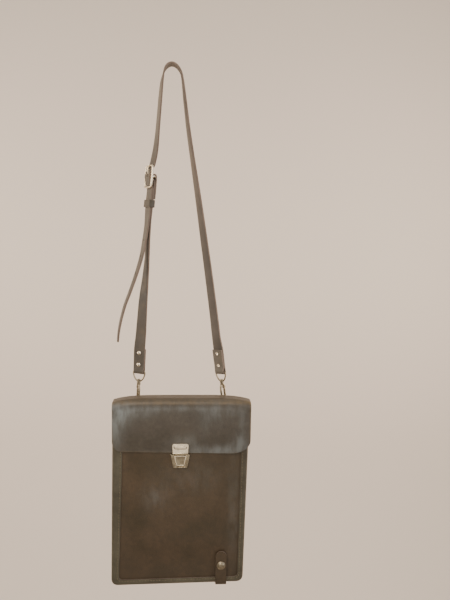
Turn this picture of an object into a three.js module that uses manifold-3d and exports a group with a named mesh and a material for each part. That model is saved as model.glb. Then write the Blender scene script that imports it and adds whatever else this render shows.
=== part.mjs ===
// Leather map case hanging by its buckled shoulder strap.
// Millimetres and degrees. Origin where a peg carries the strap, +X right, +Y to the back, +Z up.
import * as THREE from "three";
import { mergeVertices } from "three/addons/utils/BufferGeometryUtils.js";
import Module from "manifold-3d";

const wasm = await Module();
wasm.setup();

// Clearance left between neighbouring pieces
const GAP = 0.3;

// Pouch. Its own zero point is the middle of the top, on the plane of the back wall.
const CASE = { x: 17, y: -8, z: -498, depth: 28, cornerRadius: 11 };
const CORNERS = {
  topLeft: { x: -101.4, z: 0 },
  bottomLeft: { x: -103.4, z: -290 },
  bottomRight: { x: 98.8, z: -288 },
  topRight: { x: 105.4, z: 0 },
};
const BACK = { thickness: 2, top: -10 };
const GUSSET = { thickness: 1.8, top: -13, roll: 4 };
// Widths of the gusset's border on the front and of its lap on the back
const BORDER = { leftTop: 17, leftLow: 11.5, bottom: 9.6, rightLow: 8.6, rightTop: 11.5, cornerRadius: 6 };
const BACK_LAP = { leftTop: 9.5, leftLow: 9.5, bottom: 9.5, rightLow: 9.5, rightTop: 9.5, cornerRadius: 5 };
const NO_INSET = { leftTop: 0, leftLow: 0, bottom: 0, rightLow: 0, rightTop: 0 };
const FRONT = { thickness: 2, top: -15, inset: 4.4, cornerRadius: 8, swell: 2.9 };
const SWELL_RAMP = { sideFrom: 80, sideTo: 48, topFrom: -22, topTo: -62, bottomFrom: -264, bottomTo: -214 };

// Flap, from the back lap over the top to the lower front edge
const FLAP = {
  thickness: 2.2, x: 2.5, halfWidth: 104.3, lap: 19, backRadius: 5, frontRadius: 7,
  drop: 80, skew: 0.022, topSag: 6.5, edgeWrap: 1.1, swell: 2.4,
  leftCorner: { wide: 15, tall: 15 }, rightCorner: { wide: 30, tall: 20 },
};

// Tuck lock in the middle of the front
const LOCK = {
  x: 0.6, plateTop: -65.9, plateBottom: -81.6, plateWidth: 24.4, plateFoot: 22.6, plateThickness: 1.2,
  plateCorner: 3.5, barWidth: 18, barHeight: 4.2, barRise: 1.5, barZ: -70.8, lip: 2.2, lipZ: 0.9,
  baseTop: -82.4, baseBottom: -102.6, baseWidth: 28.6, baseFoot: 21, baseThickness: 1,
  rail: 3.2, railLip: 1.2, railRise: 3.2, lipFrom: 1.9, slotOver: 1, slotBottom: -101.8,
  slideTop: -83.6, slideBottom: -98.9, wingInset: 0.8, wingRise: 1.2, blockInset: 2, slideRise: 4,
  rimWidth: 1, recess: 0.7,
};

// Closing tab with its press stud
const TAB = { x: 64.6, width: 16.8, thickness: 2.2, frontY: -30.5 };
const TAB_ROUTE = [
  { y: 1.4, z: -256, width: TAB.width },
  { y: 1.4, z: -270, width: TAB.width },
  { y: 1.5, z: -285, width: TAB.width },
  { y: 1.2, z: -289.1, width: TAB.width },
  { y: -0.3, z: -290.7, width: TAB.width },
  { y: -5, z: -291, width: TAB.width },
  { y: -23, z: -291, width: TAB.width },
  { y: -28, z: -289.4, width: TAB.width },
  { y: -29.9, z: -284.5, width: TAB.width },
  { y: -30.4, z: -264, width: TAB.width },
  { y: TAB.frontY, z: -244.6, width: TAB.width },
  { y: TAB.frontY, z: -240.8, width: 15.2 },
  { y: TAB.frontY, z: -237.8, width: 11.6 },
  { y: TAB.frontY, z: -236.2, width: 6.6 },
];
const STUD = {
  z: -258.5, capRadius: 6.6, capRim: 0.7, capRise: 3, postRadius: 1.8, socketRadius: 5,
  washerRadius: 4.5, washerThickness: 0.8,
};

// Ring tabs on the back and the rings that they hold
const RING = { wire: 1.2, halfWidth: 8.5, barY: 4, barZ: -25, topY: 9.5, topZ: -10.1 };
const RING_TAB = { width: 14, thickness: 2, rivetZ: -50 };
const RING_TAB_ROUTE = [
  { y: 1.3, z: -60 },
  { y: 1.3, z: -46 },
  { y: 1.3, z: -34 },
  { y: 1.5, z: -25.5 },
  { y: 2.23, z: -23.23 },
  { y: 4, z: -22.5 },
  { y: 5.77, z: -23.23 },
  { y: 6.5, z: -25.2 },
  { y: 5.6, z: -30 },
  { y: 3.6, z: -38 },
  { y: 3.6, z: -46 },
  { y: 3.6, z: -60 },
];

// Swivel hooks and strap loops, one set for each end of the strap
const HANGER = { hookY: 9.5, hookZ: -13, length: 49 };
const HANGERS = [
  { side: "left", x: -66, lean: 2, loopTurn: -24, hookTurn: 107, outward: -1 },
  { side: "right", x: 68.5, lean: -7.8, loopTurn: -45, hookTurn: 52, outward: 1 },
];
const LOOP = { wire: 1.1, collarRadius: 3, collarBore: 1.75, collarTop: -14, collarBottom: -17.6 };
const LOOP_ROUTE = [
  { x: -1.9, z: -15.4 },
  { x: -5.6, z: -12.8 },
  { x: -8.2, z: -8.6 },
  { x: -9.7, z: -3.4 },
  { x: -9.5, z: -0.7 },
  { x: -8.4, z: 0 },
  { x: 0, z: 0 },
  { x: 8.4, z: 0 },
  { x: 9.5, z: -0.7 },
  { x: 9.7, z: -3.4 },
  { x: 8.2, z: -8.6 },
  { x: 5.6, z: -12.8 },
  { x: 1.9, z: -15.4 },
];
const HOOK = {
  wire: 1.7, postRadius: 1.3, headRadius: 2.5, headRise: 1.8, shoulderRadius: 2.9, shoulderDrop: 3,
  pivotX: 4.3, pivotZ: 23.6, pinRadius: 0.7, knuckleRadius: 1.9, knuckleHalf: 1.1, earHalf: 0.8,
  yokeX: 2.6, yokeZ: 27.4, yokeRadius: 1.1, postFoot: 28,
};
const GATE = {
  end: 9.4, top: 20.9, width: 3.8, thickness: 1.6,
  thumbZ: 13.4, thumbReach: 2.2, thumbRise: 0.6, thumbRadius: 0.9,
};
const HOOK_ROUTE = [
  { x: 2.9, z: 27.2 },
  { x: 0, z: 28.8 },
  { x: -3, z: 27.4 },
  { x: -4.3, z: 24 },
  { x: -4.4, z: 14 },
  { x: -4.3, z: 4.4 },
  { x: -3.1, z: 0.7 },
  { x: 0, z: -0.7 },
  { x: 3.1, z: 0.7 },
  { x: 4.3, z: 4.4 },
  { x: 4.3, z: 8.4 },
];

// Strap leather. Every route row has a place and the turn of the outer face away from the side.
const STRAP = { width: 18.5, thickness: 2.4 };
const STRAP_RIVET = {
  low: 10.8, high: 29.3, headRadius: 3, dome: 1.6, shankRadius: 1.2, backRadius: 2.6, backRise: 0.7,
};
const RIGHT_LEG = [
  { x: 71.6, y: 1.2, z: -408, turn: 37 },
  { x: 68.2, y: 1, z: -381, turn: 35 },
  { x: 59.6, y: 0.6, z: -319, turn: 32 },
  { x: 50.6, y: 0.3, z: -258, turn: 28 },
  { x: 41.6, y: 0, z: -198, turn: 22 },
  { x: 32, y: 0, z: -138, turn: 15 },
  { x: 25.2, y: 0, z: -94, turn: 12 },
  { x: 18.9, y: 0, z: -45, turn: 8 },
  { x: 15.7, y: 0, z: -20, turn: 3 },
];
const ARCH = [
  { x: 13.6, y: 0, z: -11, turn: 0 },
  { x: 10.2, y: 0, z: -5, turn: 0 },
  { x: 5.4, y: 0, z: -0.5, turn: 0 },
  { x: 0, y: 0, z: 1.2, turn: 0 },
  { x: -5.2, y: 0, z: -0.4, turn: 0 },
  { x: -9.4, y: 0, z: -4.6, turn: 2 },
  { x: -12.3, y: 0, z: -11.5, turn: 6 },
];
const LEFT_LEG = [
  { x: -14.6, y: 0, z: -23, turn: 12 },
  { x: -16.9, y: 0, z: -47, turn: 15 },
  { x: -20.7, y: 0, z: -95, turn: 17 },
  { x: -23.4, y: 0, z: -122, turn: 23 },
];
const TAIL = [
  { x: -36.2, y: -3.4, z: -238, turn: 21, width: 18.5 },
  { x: -39.4, y: -5.4, z: -260, turn: 19, width: 18.5 },
  { x: -43.6, y: -7.6, z: -284, turn: 17, width: 18.5 },
  { x: -51.2, y: -10.6, z: -311, turn: 15, width: 18.5 },
  { x: -59.6, y: -13.4, z: -336, turn: 13, width: 18.5 },
  { x: -67.6, y: -15.4, z: -358, turn: 12, width: 18.5 },
  { x: -73.6, y: -16.6, z: -381, turn: 11, width: 18.5 },
  { x: -76.2, y: -17, z: -395, turn: 10, width: 18.5 },
  { x: -77.2, y: -17.1, z: -402.5, turn: 10, width: 17 },
  { x: -77.7, y: -17.1, z: -409, turn: 10, width: 12.6 },
  { x: -77.9, y: -17.1, z: -413.2, turn: 10, width: 5 },
];
const SHORT_LEG = [
  { x: -33.2, y: 0.2, z: -232, turn: 20 },
  { x: -34.7, y: 0.4, z: -259, turn: 20 },
  { x: -36, y: 0.6, z: -290, turn: 22 },
  { x: -38.4, y: 0.8, z: -320, turn: 31 },
  { x: -41.4, y: 1, z: -351, turn: 44 },
  { x: -43.4, y: 1.2, z: -382, turn: 52 },
  { x: -44.9, y: 1.4, z: -406, turn: 58 },
];

// Strap end folded round a loop's bar: n is outward from the bar, u is along the strap
const END_FOLD = [
  { n: 1.35, u: 36, width: 18.5 },
  { n: 1.35, u: 22, width: 18.5 },
  { n: 1.38, u: 7.6, width: 18 },
  { n: 2.5, u: 1.2, width: 16.4 },
  { n: 2, u: -1.75, width: 16.4 },
  { n: 0, u: -2.65, width: 16.4 },
  { n: -2, u: -1.75, width: 16.4 },
  { n: -2.5, u: 1.2, width: 16.4 },
  { n: -1.38, u: 7.6, width: 18 },
  { n: -1.35, u: 22, width: 18.5 },
  { n: -1.35, u: 35, width: 18.5 },
];

// Flat buckle with a dropped middle bar, its prong, and the strap ends that run through it
const BUCKLE = {
  x: -28.6, y: 0, z: -165, lean: 5, turn: 26, wire: 1.5, halfWidth: 12.6, halfLength: 15.9, lift: 5.4,
  square: 0.3, slotHalf: 1.5, holeHalf: 2, holeLow: -1.5, holeHigh: 9.5,
};
// Half of the middle bar, from the frame's side down to the strap
const BUCKLE_BAR = [
  { across: 12.6, n: 4.9 },
  { across: 12.3, n: 2.3 },
  { across: 10.8, n: 0.4 },
  { across: 8.4, n: 0 },
];
const BUCKLE_FOLD = [
  { n: -3.6, u: -33, width: 18.5 },
  { n: -3.6, u: -20, width: 18.5 },
  { n: -3.5, u: -10, width: 18.5 },
  { n: -3.1, u: -1.5, width: 18.5 },
  { n: -2.2, u: 2.2, width: 18.5 },
  { n: 0, u: 3.15, width: 18.5 },
  { n: 2.2, u: 2.2, width: 18.5 },
  { n: 3.05, u: -0.6, width: 18.5 },
  { n: 0.8, u: -5, width: 18.5 },
  { n: -0.8, u: -10, width: 18.5 },
  { n: -0.9, u: -22, width: 18.5 },
  { n: -0.9, u: -46, width: 18.5 },
];
const WEAVE = [
  { n: -0.6, u: 32 },
  { n: 0.6, u: 23 },
  { n: 1.8, u: 16.5 },
  { n: 5.4, u: 8.5 },
  { n: 7.2, u: 0 },
  { n: 5.5, u: -8.5 },
  { n: 1.9, u: -16.5 },
  { n: 1.8, u: -24 },
  { n: 1.8, u: -38 },
  { n: 1.8, u: -48 },
];
const PRONG = { wire: 0.9, eyeRadius: 2.75 };
const PRONG_ROUTE = [
  { n: 2.7, u: 0.4 },
  { n: 5, u: 2 },
  { n: 7.2, u: 6 },
  { n: 8, u: 11 },
  { n: 7.8, u: 17.6 },
];
const KEEPER = { u: -40, height: 11, thickness: 1.8, back: -2.4, front: 3.7, halfWidth: 9.7 };
const TAIL_HOLES = { radius: 1.8, count: 4 };

// Materials, coloured from the photo
const LEATHER = { color: 0x5a4a36, roughness: 0.52, metalness: 0 };
const FLAP_LEATHER = { color: 0x5b5040, roughness: 0.45, metalness: 0 };
const BORDER_LEATHER = { color: 0x585141, roughness: 0.5, metalness: 0 };
const STRAP_LEATHER = { color: 0x6e6152, roughness: 0.62, metalness: 0 };
const NICKEL = { color: 0xc9c0ae, roughness: 0.28, metalness: 1 };

const degrees = THREE.MathUtils.degToRad;
const smooth = THREE.MathUtils.smoothstep;
const lerp = THREE.MathUtils.lerp;
const frontAxis = new THREE.Vector3(0, -1, 0);
const backAxis = new THREE.Vector3(0, 1, 0);
const model = new THREE.Group();
model.name = "map_case";

// Solid helpers

function toSolid(geometry) {
  const bare = geometry.index ? geometry.toNonIndexed() : geometry.clone();
  bare.deleteAttribute("normal");
  bare.deleteAttribute("uv");
  const merged = mergeVertices(bare, 1e-4);
  return new wasm.Manifold(new wasm.Mesh({
    numProp: 3,
    vertProperties: Float32Array.from(merged.attributes.position.array),
    triVerts: Uint32Array.from(merged.index.array),
  }));
}

function toGeometry(solid) {
  const mesh = solid.getMesh();
  const geometry = new THREE.BufferGeometry();
  geometry.setAttribute("position", new THREE.BufferAttribute(Float32Array.from(mesh.vertProperties), 3));
  geometry.setIndex(Array.from(mesh.triVerts));
  return geometry;
}

function join(...geometries) {
  return toGeometry(geometries.map(toSolid).reduce((all, next) => all.add(next)));
}

function cut(geometry, tools) {
  return toGeometry(tools.map(toSolid).reduce((left, tool) => left.subtract(tool), toSolid(geometry)));
}

function put(name, geometry, look, matrix) {
  if (matrix) geometry.applyMatrix4(matrix);
  geometry.computeVertexNormals();
  const mesh = new THREE.Mesh(geometry, new THREE.MeshStandardMaterial(look));
  mesh.name = name;
  model.add(mesh);
}

// Turns a triangle list outward when its enclosed volume comes out negative
function facingOut(points, faces) {
  let volume = 0;
  for (const [a, b, c] of faces) {
    volume += points[a].dot(new THREE.Vector3().crossVectors(points[b], points[c]));
  }
  const turned = volume < 0 ? faces.map(([a, b, c]) => [a, c, b]) : faces;
  const geometry = new THREE.BufferGeometry().setFromPoints(points);
  geometry.setIndex(turned.flat());
  return geometry;
}

// Skin over a row of rings with equal point counts; the outline gives the end caps
function skin(rings, outline, looped) {
  const count = rings[0].length;
  const points = rings.flat();
  const faces = [];
  const spans = looped ? rings.length : rings.length - 1;
  for (let i = 0; i < spans; i += 1) {
    const here = i * count;
    const next = ((i + 1) % rings.length) * count;
    for (let j = 0; j < count; j += 1) {
      const k = (j + 1) % count;
      faces.push([here + j, here + k, next + k], [here + j, next + k, next + j]);
    }
  }
  if (!looped) {
    const last = (rings.length - 1) * count;
    const cap = THREE.ShapeUtils.triangulateShape(outline, []);
    const capClockwise = THREE.ShapeUtils.isClockWise(cap[0].map((i) => outline[i]));
    const flip = THREE.ShapeUtils.isClockWise(outline) !== capClockwise;
    for (const face of cap) {
      const [a, b, c] = flip ? [face[0], face[2], face[1]] : face;
      faces.push([a, c, b], [last + a, last + b, last + c]);
    }
  }
  return facingOut(points, faces);
}

// Leather wall of even thickness laid outside a grid of inner points
function wall(grid, thickness) {
  const rows = grid.length;
  const columns = grid[0].length;
  const outer = grid.map((row, i) => row.map((point, j) => {
    const down = grid[Math.min(i + 1, rows - 1)][j].clone().sub(grid[Math.max(i - 1, 0)][j]);
    const along = row[Math.min(j + 1, columns - 1)].clone().sub(row[Math.max(j - 1, 0)]);
    const normal = down.cross(along).normalize().multiplyScalar(thickness);
    return point.clone().add(normal);
  }));
  const points = [...grid.flat(), ...outer.flat()];
  const shift = rows * columns;
  const faces = [];
  const quad = (a, b, c, d) => faces.push([a, b, c], [a, c, d]);
  for (let i = 0; i < rows - 1; i += 1) {
    for (let j = 0; j < columns - 1; j += 1) {
      const a = i * columns + j;
      quad(a, a + 1, a + columns + 1, a + columns);
      quad(shift + a, shift + a + columns, shift + a + columns + 1, shift + a + 1);
    }
  }
  for (let j = 0; j < columns - 1; j += 1) {
    const low = (rows - 1) * columns + j;
    quad(j + 1, j, shift + j, shift + j + 1);
    quad(low, low + 1, shift + low + 1, shift + low);
  }
  for (let i = 0; i < rows - 1; i += 1) {
    const left = i * columns;
    const right = left + columns - 1;
    quad(left, left + columns, shift + left + columns, shift + left);
    quad(right + columns, right, shift + right, shift + right + columns);
  }
  return facingOut(points, faces);
}

function strapSection(width, thickness) {
  const w = width / 2;
  const t = thickness / 2;
  return [[w, -t], [w, t], [-w, t], [-w, -t]].map(([across, out]) => new THREE.Vector2(across, out));
}

// Strap through stations of place, across direction and width, with extra cuts in each span
function ribbon(stations, thickness, cuts) {
  const curve = new THREE.CatmullRomCurve3(stations.map((station) => station.at), false, "centripetal");
  const spans = stations.length - 1;
  const rings = [];
  for (let i = 0; i <= spans * cuts; i += 1) {
    const t = i / (spans * cuts);
    const low = Math.min(Math.floor(i / cuts), spans - 1);
    const part = i / cuts - low;
    const tangent = curve.getTangent(t);
    const across = stations[low].across.clone().lerp(stations[low + 1].across, part);
    across.addScaledVector(tangent, -across.dot(tangent)).normalize();
    const out = new THREE.Vector3().crossVectors(tangent, across);
    const width = lerp(stations[low].width, stations[low + 1].width, part);
    const centre = curve.getPoint(t);
    rings.push(strapSection(width, thickness).map((corner) => centre.clone()
      .addScaledVector(across, corner.x)
      .addScaledVector(out, corner.y)));
  }
  return skin(rings, strapSection(STRAP.width, thickness), false);
}

// Round wire along a curve, closed on itself or with flat ends
function rod(points, radius, steps, sides, closed) {
  const curve = new THREE.CatmullRomCurve3(points, closed, "centripetal");
  const frames = curve.computeFrenetFrames(steps, closed);
  const outline = Array.from({ length: sides }, (_, i) => {
    const angle = (i / sides) * Math.PI * 2;
    return new THREE.Vector2(Math.cos(angle) * radius, Math.sin(angle) * radius);
  });
  const rings = [];
  for (let i = 0; i < (closed ? steps : steps + 1); i += 1) {
    const centre = curve.getPointAt(i / steps);
    rings.push(outline.map((corner) => centre.clone()
      .addScaledVector(frames.normals[i], corner.x)
      .addScaledVector(frames.binormals[i], corner.y)));
  }
  return skin(rings, outline, closed);
}

// Cylinder between two points
function bar(from, to, radius, sides) {
  const span = to.clone().sub(from);
  const geometry = new THREE.CylinderGeometry(radius, radius, span.length(), sides);
  geometry.applyQuaternion(new THREE.Quaternion().setFromUnitVectors(backAxis, span.clone().normalize()));
  const middle = from.clone().add(to).multiplyScalar(0.5);
  return geometry.translate(middle.x, middle.y, middle.z);
}

// Turned piece: profile of radius and height along an axis through a point
function turned(profile, at, axis, sides) {
  const geometry = new THREE.LatheGeometry(profile.map(([r, h]) => new THREE.Vector2(r, h)), sides);
  geometry.applyQuaternion(new THREE.Quaternion().setFromUnitVectors(backAxis, axis));
  return geometry.translate(at.x, at.y, at.z);
}

function rivet(at, axis, grip) {
  const r = STRAP_RIVET;
  return turned([
    [0, -grip - r.backRise], [r.backRadius * 0.9, -grip - r.backRise], [r.backRadius, -grip],
    [r.shankRadius, -grip], [r.shankRadius, grip], [r.headRadius, grip],
    [r.headRadius * 0.7, grip + r.dome * 0.76], [0, grip + r.dome],
  ], at, axis, 8);
}

const caseMatrix = new THREE.Matrix4().makeTranslation(CASE.x, CASE.y, CASE.z);

// Outline of the pouch seen from the front, from the top left round the bottom to the top right
function outlineShape(Kind, inset, top, radius) {
  const { topLeft, bottomLeft, bottomRight, topRight } = CORNERS;
  const left = (z) => lerp(topLeft.x + inset.leftTop, bottomLeft.x + inset.leftLow, z / bottomLeft.z);
  const right = (z) => lerp(topRight.x - inset.rightTop, bottomRight.x - inset.rightLow, z / bottomRight.z);
  const lowLeft = bottomLeft.z + inset.bottom;
  const lowRight = bottomRight.z + inset.bottom;
  const shape = new Kind();
  shape.moveTo(left(top), top);
  for (const share of [0.2, 0.4, 0.6, 0.8]) {
    const z = lerp(top, lowLeft + radius, share);
    shape.lineTo(left(z), z);
  }
  shape.lineTo(left(lowLeft + radius), lowLeft + radius);
  shape.quadraticCurveTo(left(lowLeft), lowLeft, left(lowLeft) + radius, lowLeft);
  for (const share of [0.25, 0.5, 0.75]) {
    const x = lerp(left(lowLeft) + radius, right(lowRight) - radius, share);
    shape.lineTo(x, lerp(lowLeft, lowRight, share));
  }
  shape.lineTo(right(lowRight) - radius, lowRight);
  shape.quadraticCurveTo(right(lowRight), lowRight, right(lowRight + radius), lowRight + radius);
  for (const share of [0.2, 0.4, 0.6, 0.8]) {
    const z = lerp(lowRight + radius, top, share);
    shape.lineTo(right(z), z);
  }
  shape.lineTo(right(top), top);
  return shape;
}

// Height of the front wall's outer face, swollen in the middle and flat under the border
const frontFace = -CASE.depth + GUSSET.thickness + GAP;
function frontY(x, z) {
  const r = SWELL_RAMP;
  const side = smooth(-Math.abs(x), -r.sideFrom, -r.sideTo);
  const upper = smooth(-z, -r.topFrom, -r.topTo);
  const lower = smooth(z, r.bottomFrom, r.bottomTo);
  return frontFace - FRONT.swell * side * upper * lower;
}

// Pouch walls

function backPanel() {
  const shape = outlineShape(THREE.Shape, NO_INSET, BACK.top, CASE.cornerRadius);
  const settings = { depth: BACK.thickness, bevelEnabled: false, curveSegments: 6 };
  const plate = new THREE.ExtrudeGeometry(shape, settings);
  plate.rotateX(Math.PI / 2);
  const holes = HANGERS.map((hanger) => bar(
    new THREE.Vector3(hanger.x, -BACK.thickness - 2, RING_TAB.rivetZ),
    new THREE.Vector3(hanger.x, 2, RING_TAB.rivetZ),
    STRAP_RIVET.shankRadius + GAP,
    10,
  ));
  return cut(plate, holes);
}

// Side and bottom wall, rolled over at both edges: a ring of its section at each point of the outline
function gusset() {
  const { thickness, top, roll } = GUSSET;
  const front = -CASE.depth;
  const back = -BACK.thickness - GAP;
  const pathPoints = (inset, radius) => outlineShape(THREE.Path, inset, top, radius).getPoints(6);
  const edge = pathPoints(NO_INSET, CASE.cornerRadius);
  const frontRim = pathPoints(BORDER, BORDER.cornerRadius);
  const backRim = pathPoints(BACK_LAP, BACK_LAP.cornerRadius);
  const rings = edge.map((point, i) => {
    const ahead = edge[Math.min(i + 1, edge.length - 1)];
    const behind = edge[Math.max(i - 1, 0)];
    const tangent = ahead.clone().sub(behind).normalize();
    const turn = (radius, y, start) => [0, 45, 90].map((step) => {
      const angle = degrees(start - step);
      const out = radius * Math.cos(angle) - roll;
      const depth = y + radius * Math.sin(angle);
      return new THREE.Vector3(point.x + out * tangent.y, depth, point.y - out * tangent.x);
    });
    const face = (depth) => [
      new THREE.Vector3(backRim[i].x, back - depth, backRim[i].y),
      ...turn(roll - depth, back - roll, 90),
      ...turn(roll - depth, front + roll, 0),
      new THREE.Vector3(frontRim[i].x, front + depth, frontRim[i].y),
    ];
    return [...face(0), ...face(thickness).reverse()];
  });
  return skin(rings, rings[0].map((point) => new THREE.Vector2(point.x, point.y)), false);
}

function frontPanel() {
  const { topLeft, bottomLeft, bottomRight, topRight } = CORNERS;
  const shares = [0, 0.05, 0.1, 0.16, 0.23, 0.33, 0.5, 0.67, 0.77, 0.84, 0.9, 0.95, 1];
  const heights = [0, 0.06, 0.12, 0.18, 0.35, 0.55, 0.73, 0.79, 0.85, 0.91, 0.95, 0.97, 0.988, 1];
  const r = FRONT.cornerRadius;
  const grid = heights.map((height) => shares.map((share) => {
    const low = lerp(bottomLeft.z, bottomRight.z, share) + FRONT.inset;
    const z = lerp(FRONT.top, low, height);
    const over = Math.max(0, r - (z - low));
    const round = r - Math.sqrt(Math.max(0, r * r - over * over));
    const left = lerp(topLeft.x, bottomLeft.x, z / bottomLeft.z) + FRONT.inset + round;
    const right = lerp(topRight.x, bottomRight.x, z / bottomRight.z) - FRONT.inset - round;
    const x = lerp(left, right, share);
    return new THREE.Vector3(x, frontY(x, z) + FRONT.thickness, z);
  }));
  const hole = bar(
    new THREE.Vector3(TAB.x, -CASE.depth - 6, STUD.z),
    new THREE.Vector3(TAB.x, -CASE.depth + 10, STUD.z),
    STUD.postRadius + GAP,
    12,
  );
  return cut(wall(grid, FRONT.thickness), [hole]);
}

// Flap: a side profile from the back lap to the front edge, swept across with sagging ends
const flapFront = -CASE.depth - 4 * GAP;
function flap() {
  const f = FLAP;
  const backY = GAP;
  const profile = new THREE.Path();
  profile.moveTo(backY, -f.lap);
  profile.lineTo(backY, -f.backRadius);
  profile.absarc(backY - f.backRadius, -f.backRadius, f.backRadius, 0, Math.PI / 2, false);
  profile.lineTo(flapFront + f.frontRadius, 0);
  profile.absarc(flapFront + f.frontRadius, -f.frontRadius, f.frontRadius, Math.PI / 2, Math.PI, false);
  const turns = profile.getPoints(3);
  const rows = turns.filter((point, i) => i === 0 || point.distanceTo(turns[i - 1]) > 1e-6);
  const hang = [0.12, 0.26, 0.42, 0.58, 0.72, 0.84, 0.93, 1];
  const columns = [-1, -0.99, -0.955, -0.9, -0.83, -0.7, -0.45, -0.18,
    0.18, 0.45, 0.7, 0.8, 0.87, 0.935, 0.982, 1];
  const place = (u, y, z, front) => {
    const x = f.x + u * f.halfWidth;
    const edge = Math.abs(u);
    const sag = f.topSag * edge ** 5 * smooth(z, -48, -4);
    const wrap = f.edgeWrap * smooth(edge, 0.9, 1) * front;
    const lockMiddle = (LOCK.plateTop + LOCK.plateBottom) / 2;
    const near = 1 - smooth(Math.hypot(x - LOCK.x, z - lockMiddle), 14, 40);
    const hanging = Math.sin(Math.PI * THREE.MathUtils.clamp(-z / f.drop, 0, 1));
    const swell = f.swell * (1 - edge ** 6) * hanging * front;
    return new THREE.Vector3(x, y + wrap - swell * (1 - near), z - sag);
  };
  const grid = rows.map((row) => columns.map((u) => place(u, row.x, row.y, 0)));
  for (const share of hang) {
    grid.push(columns.map((u) => {
      const x = u * f.halfWidth;
      const corner = u < 0 ? f.leftCorner : f.rightCorner;
      const over = Math.max(0, 1 - (f.halfWidth - Math.abs(x)) / corner.wide);
      const round = corner.tall * (1 - Math.sqrt(1 - over * over));
      const low = -f.drop - f.skew * (f.x + x) + round;
      return place(u, flapFront, lerp(-f.frontRadius, low, share), 1);
    }));
  }
  return wall(grid, f.thickness);
}

// Strips made of short routes in the side plane

function sideStrip(route, x, thickness, cuts) {
  const across = new THREE.Vector3(-1, 0, 0);
  return ribbon(route.map((row) => ({
    at: new THREE.Vector3(x, row.y, row.z),
    across,
    width: row.width ?? RING_TAB.width,
  })), thickness, cuts);
}

put("back_panel", backPanel(), LEATHER, caseMatrix);
put("front_panel", frontPanel(), LEATHER, caseMatrix);
put("gusset", gusset(), BORDER_LEATHER, caseMatrix);
put("flap", flap(), FLAP_LEATHER, caseMatrix);

// Closing tab and press stud
const studHole = bar(
  new THREE.Vector3(TAB.x, -CASE.depth - 8, STUD.z),
  new THREE.Vector3(TAB.x, -CASE.depth + 4, STUD.z),
  STUD.postRadius + GAP,
  12,
);
const closingTab = cut(sideStrip(TAB_ROUTE, TAB.x, TAB.thickness, 2), [studHole]);
put("closing_tab", closingTab, LEATHER, caseMatrix);

function pressStud() {
  const s = STUD;
  const tabFace = -TAB.frontY + TAB.thickness / 2 + GAP;
  const tabInner = -TAB.frontY - TAB.thickness / 2 - GAP;
  const panelOuter = -frontY(TAB.x - s.socketRadius, s.z + s.socketRadius) + GAP;
  const panelInner = -frontY(TAB.x + s.washerRadius, s.z - s.washerRadius) - FRONT.thickness - GAP;
  const washerEnd = panelInner - s.washerThickness;
  const washer = [[0, washerEnd], [s.washerRadius, washerEnd], [s.washerRadius, panelInner]];
  const socket = [
    [s.postRadius, panelInner], [s.postRadius, panelOuter], [s.socketRadius, panelOuter],
    [s.socketRadius, tabInner], [s.postRadius, tabInner], [s.postRadius, tabFace],
  ];
  const cap = [
    [s.capRadius, tabFace], [s.capRadius, tabFace + s.capRim],
    [s.capRadius * 0.86, tabFace + s.capRise * 0.3], [s.capRadius * 0.72, tabFace + s.capRise * 0.72],
    [s.capRadius * 0.38, tabFace + s.capRise * 0.96], [0, tabFace + s.capRise],
  ];
  return turned([...washer, ...socket, ...cap], new THREE.Vector3(TAB.x, 0, s.z), frontAxis, 12);
}
put("press_stud", pressStud(), NICKEL, caseMatrix);

// Lock plate on the flap, base and slide on the front wall

function trapezoid(top, bottom, halfTop, halfBottom) {
  const shape = new THREE.Shape();
  shape.moveTo(LOCK.x - halfTop, top);
  shape.lineTo(LOCK.x - halfBottom, bottom);
  shape.lineTo(LOCK.x + halfBottom, bottom);
  shape.lineTo(LOCK.x + halfTop, top);
  shape.closePath();
  return shape;
}

// Plate that stands forward from one depth to the next
function forward(shape, fromY, rise) {
  const plate = new THREE.ExtrudeGeometry(shape, { depth: rise, bevelEnabled: false, curveSegments: 5 });
  plate.rotateX(Math.PI / 2);
  return plate.translate(0, fromY, 0);
}

function lockPlate() {
  const k = LOCK;
  const seat = flapFront - FLAP.thickness - GAP;
  const half = k.plateWidth / 2;
  const foot = k.plateFoot / 2;
  const shape = new THREE.Shape();
  shape.moveTo(k.x - foot, k.plateBottom);
  shape.lineTo(k.x + foot, k.plateBottom);
  shape.lineTo(k.x + half, k.plateTop - k.plateCorner);
  shape.quadraticCurveTo(k.x + half, k.plateTop, k.x + half - k.plateCorner, k.plateTop);
  shape.lineTo(k.x - half + k.plateCorner, k.plateTop);
  shape.quadraticCurveTo(k.x - half, k.plateTop, k.x - half, k.plateTop - k.plateCorner);
  shape.closePath();
  const plate = forward(shape, seat, k.plateThickness);
  const barShape = new THREE.Shape();
  const r = k.barHeight / 2;
  const reach = k.barWidth / 2 - r;
  barShape.absarc(k.x + reach, k.barZ, r, -Math.PI / 2, Math.PI / 2, false);
  barShape.absarc(k.x - reach, k.barZ, r, Math.PI / 2, Math.PI * 1.5, false);
  const raised = forward(barShape, seat - k.plateThickness / 2, k.barRise + k.plateThickness / 2);
  const lipY = seat - k.plateThickness;
  const lip = bar(
    new THREE.Vector3(k.x - foot, lipY, k.plateBottom + k.lipZ),
    new THREE.Vector3(k.x + foot, lipY, k.plateBottom + k.lipZ),
    k.lip / 2,
    10,
  );
  return join(plate, raised, lip);
}
put("lock_plate", lockPlate(), NICKEL, caseMatrix);

const lockSeat = frontY(LOCK.x, (LOCK.baseTop + LOCK.baseBottom) / 2) - GAP;
const slideSeat = lockSeat - LOCK.baseThickness - GAP;

// Half width of the tapered lock at a height, less an inset
function lockHalf(z, inset) {
  const share = (z - LOCK.baseTop) / (LOCK.baseBottom - LOCK.baseTop);
  return lerp(LOCK.baseWidth, LOCK.baseFoot, share) / 2 - inset;
}

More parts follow.
